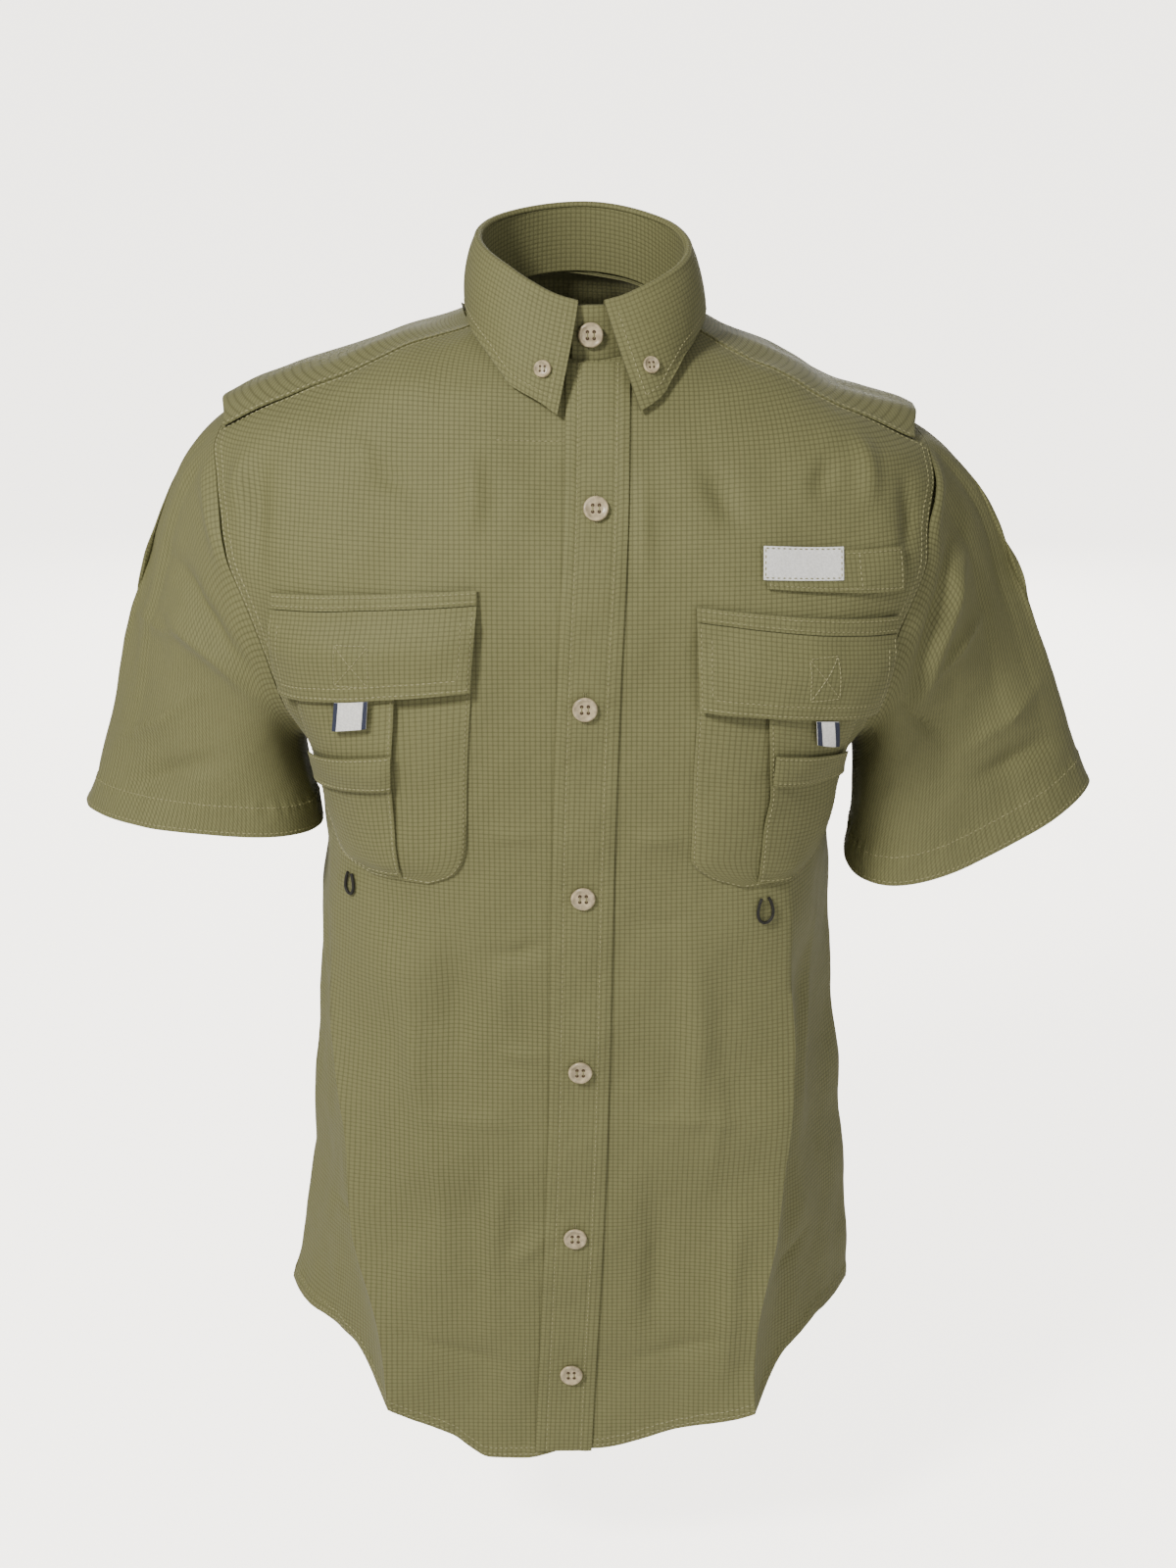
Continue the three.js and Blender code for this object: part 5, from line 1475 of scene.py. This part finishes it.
def add_camera():
    data = bpy.data.cameras.new("camera")
    data.lens = CAMERA["lens"]
    data.sensor_width = 36
    data.sensor_fit = "AUTO"
    data.shift_x = CAMERA["shift"]
    data.clip_end = 100
    camera = new_object("camera", data)
    camera.location = (0, CAMERA["y"] * MM, CAMERA["z"] * MM)
    camera.rotation_euler = (math.radians(90 - CAMERA["pitch"]), 0, 0)
    bpy.context.scene.camera = camera


# Lights: place, what each is aimed at, width and power
LIGHTS = table("name place target size power colour", [
    ("key", (-1.5, -1.95, 1.7), (0, 0, -0.4), 0.6, 112, (1, 0.985, 0.95)),
    ("fill", (1.5, -2.4, 0.1), (0, 0, -0.4), 1.8, 19, (0.97, 0.98, 1)),
    ("back", (0.1, 2.6, 0.2), (0, 0, -0.35), 1.5, 46, (1, 0.985, 0.95)),
])


def add_light(name, place, target, size, power, colour):
    data = bpy.data.lights.new(name, "AREA")
    data.shape = "DISK"
    data.size = size
    data.energy = power
    data.color = colour
    obj = new_object(name, data)
    obj.location = place
    aim = Vector(target) - Vector(place)
    obj.rotation_euler = aim.to_track_quat("-Z", "Y").to_euler()


# Floor and world: both are brighter to the camera than to the shirt
FLOOR_Z = -0.83
FLOOR_HALF = 90000
FLOOR_GLOW = 3.6
FLOOR_COLOUR = (0.86, 0.845, 0.81, 1)
FLOOR_GLOW_COLOUR = (1, 0.955, 0.88, 1)
WORLD_LIGHT = 0.34
WORLD_COLOUR = (1, 0.975, 0.93, 1)


def floor_material():
    """A pale matt floor that the camera sees a little brighter, like a lit studio floor."""
    material, shader = new_material("floor")
    tree = material.node_tree
    shader.inputs["Base Color"].default_value = FLOOR_COLOUR
    shader.inputs["Roughness"].default_value = 0.95
    shader.inputs["Specular IOR Level"].default_value = 0.1
    shader.inputs["Emission Color"].default_value = FLOOR_GLOW_COLOUR
    seen = tree.nodes.new("ShaderNodeLightPath").outputs["Is Camera Ray"]
    tree.links.new(maths(tree, "MULTIPLY", seen, FLOOR_GLOW), shader.inputs["Emission Strength"])
    return material


def add_stage():
    material = floor_material()
    verts = np.array([(-1, -1, 0), (1, -1, 0), (1, 1, 0), (-1, 1, 0)], float) * FLOOR_HALF
    verts[:, 2] = FLOOR_Z / MM
    floor = make_mesh("floor", verts, np.array([[0, 1, 2, 3]]), material)
    world = bpy.data.worlds.new("world")
    bpy.context.scene.world = world
    world.use_nodes = True
    tree = world.node_tree
    background = tree.nodes["Background"]
    background.inputs[0].default_value = WORLD_COLOUR
    seen = tree.nodes.new("ShaderNodeLightPath").outputs["Is Camera Ray"]
    strength = maths(tree, "ADD", maths(tree, "MULTIPLY", seen, FLOOR_GLOW), WORLD_LIGHT)
    tree.links.new(strength, background.inputs[1])
    for light in LIGHTS:
        add_light(**light)


# Heights of the band's buttons and buttonholes over the cloth, and the azimuth, radius and height
# of the stand's button
BUTTON_OFF = 2.7
BUTTONHOLE = {"long": 18.5, "off": 2.3}
STAND_BUTTON = (3.6, NECK["radius"] + 0.5, -12)

# Buttons on the collar leaf, by azimuth and share of the way from its fold to its edge
COLLAR_BUTTONS = (("right", -14.6, 0.68), ("left", -337.5, 0.67))
COLLAR_BUTTON_GAP = 0.3

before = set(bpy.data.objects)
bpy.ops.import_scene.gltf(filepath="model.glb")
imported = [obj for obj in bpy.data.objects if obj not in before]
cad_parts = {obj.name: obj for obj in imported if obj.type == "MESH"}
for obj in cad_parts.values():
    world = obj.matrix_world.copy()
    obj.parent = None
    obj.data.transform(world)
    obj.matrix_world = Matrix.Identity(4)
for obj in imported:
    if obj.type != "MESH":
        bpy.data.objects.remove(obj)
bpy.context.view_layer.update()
add_camera()
CLOTH = cloth_material()
WHITE = plain_material("white_tape", (0.78, 0.77, 0.74), 0.75, 0.3)
ELASTIC = plain_material("dark_elastic", (0.012, 0.011, 0.008), 0.6, 0.4)
PEARL = plain_material("pearl_button", (0.4, 0.325, 0.2), 0.28, 0.5, 300, 0.00003, 0.35)
THREAD_CLOTH = plain_material("thread", (0.265, 0.25, 0.125), 0.6, 0.3, 900, 0.0001, 0.15)
# Painted shade: near-black colour of the discs that stand for the shaded button hole openings
BUTTON_HOLE_PAINTED_SHADE = plain_material("button_hole_painted_shade", (0.06, 0.035, 0.018), 0.7, 0.3)
NAVY = plain_material("navy_tape", (0.03, 0.035, 0.06), 0.75, 0.3)

for loop_name, loop_size in LOOPS.items():
    pocket_loop(loop_name, loop_size, ELASTIC)

for side in (RIGHT, LEFT):
    word = "right" if side == RIGHT else "left"
    add_piece(front(side, CLOTH), [f"front_{word}"])
    add_piece(sleeve(side, CLOTH), [f"sleeve_{word}"])
add_piece(back(CLOTH), ["back"])
add_piece(cape(CLOTH), ["back_cape"])
add_piece(collar_stand(CLOTH), ["collar_stand"])
add_piece(collar_leaf(CLOTH), ["collar_leaf"])
add_piece(placket(CLOTH), ["placket"])
for piece_name in LAID:
    white = piece_name.startswith("flap_tab") or piece_name == "label"
    material, slot = (WHITE, "woven_white") if white else (CLOTH, "cloth")
    add_piece(laid(piece_name, material), [piece_name])

for number, (button_x, button_z) in enumerate(BAND_BUTTONS, 1):
    spot = stack(button_x, surface_y(-1, np.array(button_x), button_z), button_z)
    place = skin(spot, BUTTON_OFF)
    button(f"shirt_button_{number}", f"button_{number}", BUTTON["wide"], place, normals_at(spot), PEARL)
    below = stack(button_x, surface_y(-1, np.array(button_x), button_z - 5), button_z - 5)
    hole = skin(spot, BUTTONHOLE["off"])
    buttonhole(f"shirt_buttonhole_{number}", hole, unit(hole - skin(below, BUTTONHOLE["off"])),
               normals_at(spot), BUTTONHOLE["long"])
spot = on_collar(*STAND_BUTTON)
outward = unit(spot - on_collar(STAND_BUTTON[0], 0.0, STAND_BUTTON[2]))
button("shirt_button_stand", "button_stand", BUTTON["wide"], spot, outward, PEARL)
for word, spot_azimuth, spot_drop in COLLAR_BUTTONS:
    spot = leaf_point(spot_azimuth, spot_drop, LEAF["thick"] + COLLAR_BUTTON_GAP)
    down = leaf_point(spot_azimuth, spot_drop + 0.05) - leaf_point(spot_azimuth, spot_drop - 0.05)
    around = leaf_point(spot_azimuth + 2, spot_drop) - leaf_point(spot_azimuth - 2, spot_drop)
    button(f"shirt_collar_button_{word}", f"collar_button_{word}", BUTTON["small"], spot,
           unit(np.cross(down, around)), PEARL)

add_stage()
